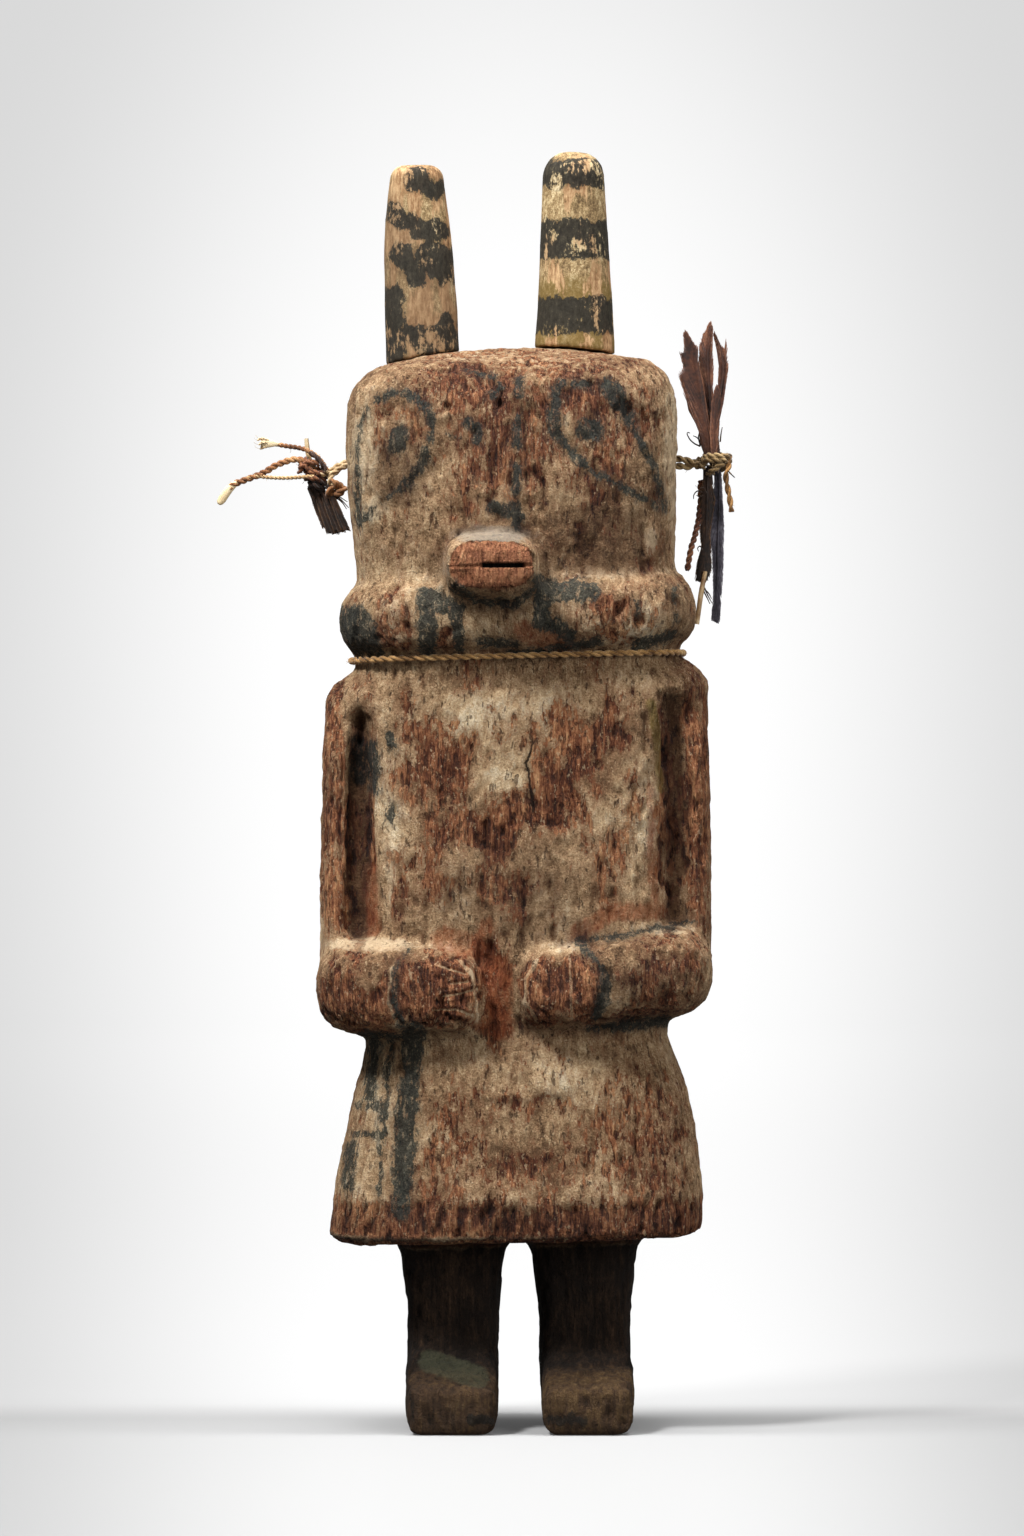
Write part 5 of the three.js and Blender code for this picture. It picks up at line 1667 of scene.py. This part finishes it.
# Feathers at the right ear
# Brittle red-brown blades that stand up out of the binding, their tips broken, and longer dark and
# slate ones that hang from it, with a quill stick and a short red twisted cord.
right_feathers = {
    "right_feather_broad": dict(
        outline=[
            (44.4, 226.4), (43.6, 229), (42.9, 231), (42.4, 234.6), (40.1, 238.8), (39.6, 241.4),
            (38.8, 244.5), (38, 247), (38.7, 247.8), (39.2, 248.8), (38.7, 250.8), (38.3, 252.3),
            (39.2, 252.3), (39.4, 253.6), (39.1, 256.8), (39.7, 258.1), (40.5, 256.6), (41.6, 254.9),
            (42.6, 253.7), (43, 249.6), (44, 244.8), (44.8, 239), (45.9, 233.5), (46.4, 226.4),
        ],
        shaft=[(45.6, 226.6), (45, 233), (43.6, 240), (42.4, 247), (41.2, 252.6), (40, 257)],
        y=-1.9, curl=-0.6, cup=-0.05, vane=brown_vane, slot="brown_feather",
    ),
    "right_feather_tall": dict(
        outline=[
            (44.9, 226.4), (44.6, 232), (43.6, 241), (42.8, 249), (42.9, 253.6), (43.5, 256.6),
            (44.5, 257.8), (44.9, 259), (45.7, 260.2), (46.3, 258.2), (46.2, 256.6), (46.1, 252.8),
            (46.4, 249.4), (46.2, 244), (46.6, 238), (47.2, 232), (47.2, 226.4),
        ],
        shaft=[(46.2, 226.6), (45.6, 240), (45, 250), (45.5, 259.4)],
        y=-0.8, curl=0.4, cup=0.08, vane=brown_vane, slot="brown_feather",
    ),
    "right_feather_narrow": dict(
        outline=[
            (46.4, 226.4), (46.8, 236), (47.4, 246), (47.6, 249.6), (47.1, 253.2), (46.3, 256.8),
            (46.6, 257.6), (47.8, 255), (49, 253.4), (49.3, 256), (49.7, 253.4), (49.9, 248.8),
            (49.4, 245.6), (48.7, 240.6), (47.9, 237.4), (47.6, 232.6), (48.2, 226.4),
        ],
        shaft=[(47.3, 226.6), (47.3, 238), (48.7, 248.6), (48.2, 253), (46.9, 256.8)],
        y=0.5, curl=0.8, cup=-0.1, vane=brown_vane, slot="brown_feather",
    ),
    "right_feather_small": dict(
        outline=[
            (45.7, 226.4), (45.4, 234), (45.7, 240.5), (46.4, 243.6), (47.1, 245.2), (47.9, 243.4),
            (48.2, 240.4), (47.4, 235), (47, 226.4),
        ],
        shaft=[(46.4, 226.6), (46.5, 236), (47.1, 244.4)],
        y=-3, curl=-0.4, cup=0.1, vane=brown_vane, slot="brown_feather",
    ),
    "right_feather_drop": dict(
        outline=[
            (48.2, 226.2), (48.5, 219.4), (48.9, 211.6), (48.7, 201), (48.1, 192.6), (47.9, 189.4),
            (47.5, 188.7), (45.8, 189.6), (46.3, 195.9), (46.1, 203), (45.3, 211.4), (45.4, 215.4),
            (46.3, 219.4), (46.2, 226.2),
        ],
        shaft=[(47.6, 226), (47.7, 218), (47.4, 208), (47.3, 198), (46.9, 189.4)],
        y=0.6, curl=0.5, cup=0.06, vane=slate_vane, slot="slate_feather",
    ),
    "right_feather_dark": dict(
        outline=[
            (46.2, 226), (46.8, 218), (45.6, 210), (46, 201.6), (45, 198.6), (43.6, 198.2), (41.9, 199),
            (42.4, 203.4), (43.4, 206.4), (43, 211), (42.9, 218.6), (43.6, 221), (43.6, 226),
        ],
        shaft=[(45, 226), (44.6, 212), (44.4, 204), (43.4, 198.8)],
        y=-0.6, curl=-0.4, cup=0.08, vane=dark_vane, slot="dark_feather",
    ),
}
for seed, (node, form) in enumerate(right_feathers.items(), 80):
    slot_name = form.pop("slot")
    barbs = feather(node + "_barbs", seed=seed, angle=15, **form)
    web = blade_sheet(node + "_web", **form)
    shaft_line = [(x, form["y"] - 0.12, z) for x, z in form["shaft"]]
    rib = quill(node + "_rib", shaft_line, np.linspace(0.3, 0.08, len(shaft_line)), form["vane"])
    for piece in (barbs, web, rib):
        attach(piece, "root")
        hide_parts(node)

# Bits of down and broken barbs that curl off the binding and the torn edges.
right_wisps = wisps("right_feather_wisps", [
    [(43.2, -1.6, 230.4), (41.6, -2, 231.2), (40.4, -2, 232.6), (40.2, -1.9, 233.6), (40.8, -1.8, 233.5)],
    [(43.4, -1.4, 231), (42.5, -1.6, 232.4), (41.5, -1.6, 232.9)],
    [(43.2, -1, 230.6), (42.8, -1, 232.8), (43.1, -1, 234)],
    [(43.6, -1.4, 219.6), (42.6, -2, 219.9), (41.7, -2.2, 219), (41.6, -2.2, 218)],
    [(43.8, -1, 219), (43, -1.4, 218.6), (42.3, -1.6, 218.9)],
    [(44.6, -1.6, 219.4), (43.8, -2, 220.6), (43, -2, 220.4)],
    [(43.6, -1.6, 206), (43.2, -1.7, 206.9), (42.6, -1.7, 206.5), (42.8, -1.7, 205.7)],
    [(44.2, -0.6, 197.2), (45, -0.4, 195.4), (46, -0.2, 193.6)],
    [(44, -0.6, 197), (45.2, -0.2, 195.9), (45.9, 0, 194.6)],
    [(43.9, -0.6, 196.6), (44.8, -0.4, 194.9), (45.5, -0.2, 193.4)],
    [(49.4, -1.6, 225), (50.6, -1.8, 223.7), (51.3, -2, 223)],
    [(49.3, -1.5, 225.2), (50.4, -1.7, 223.9), (51.2, -2, 223.2)],
    [(47.9, -0.6, 231.5), (48.1, -0.7, 233.4), (48.4, -0.7, 235)],
])
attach(right_wisps, "root")
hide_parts("right_feather_dark")
right_stick = quill(
    "right_quill_stick", [(44.4, -1.6, 201), (43.5, -2, 196.6), (42.4, -2, 188.6)], [0.5, 0.62, 0.55],
    quill_material,
)
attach(right_stick, "root")
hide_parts("right_quill")
hanging_route = [
    (43.4, 0.8, 222.4), (43.2, 0.2, 216), (42.2, -1.6, 210.4), (40.9, -3.2, 205.9), (40.1, -3.4, 201.2),
]
hanging_cord = twisted("right_red_cord", [(hanging_route, False)], 1.5, red_fibre, lay=2.2)
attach(hanging_cord, "root")
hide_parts("right_hanging_cord")
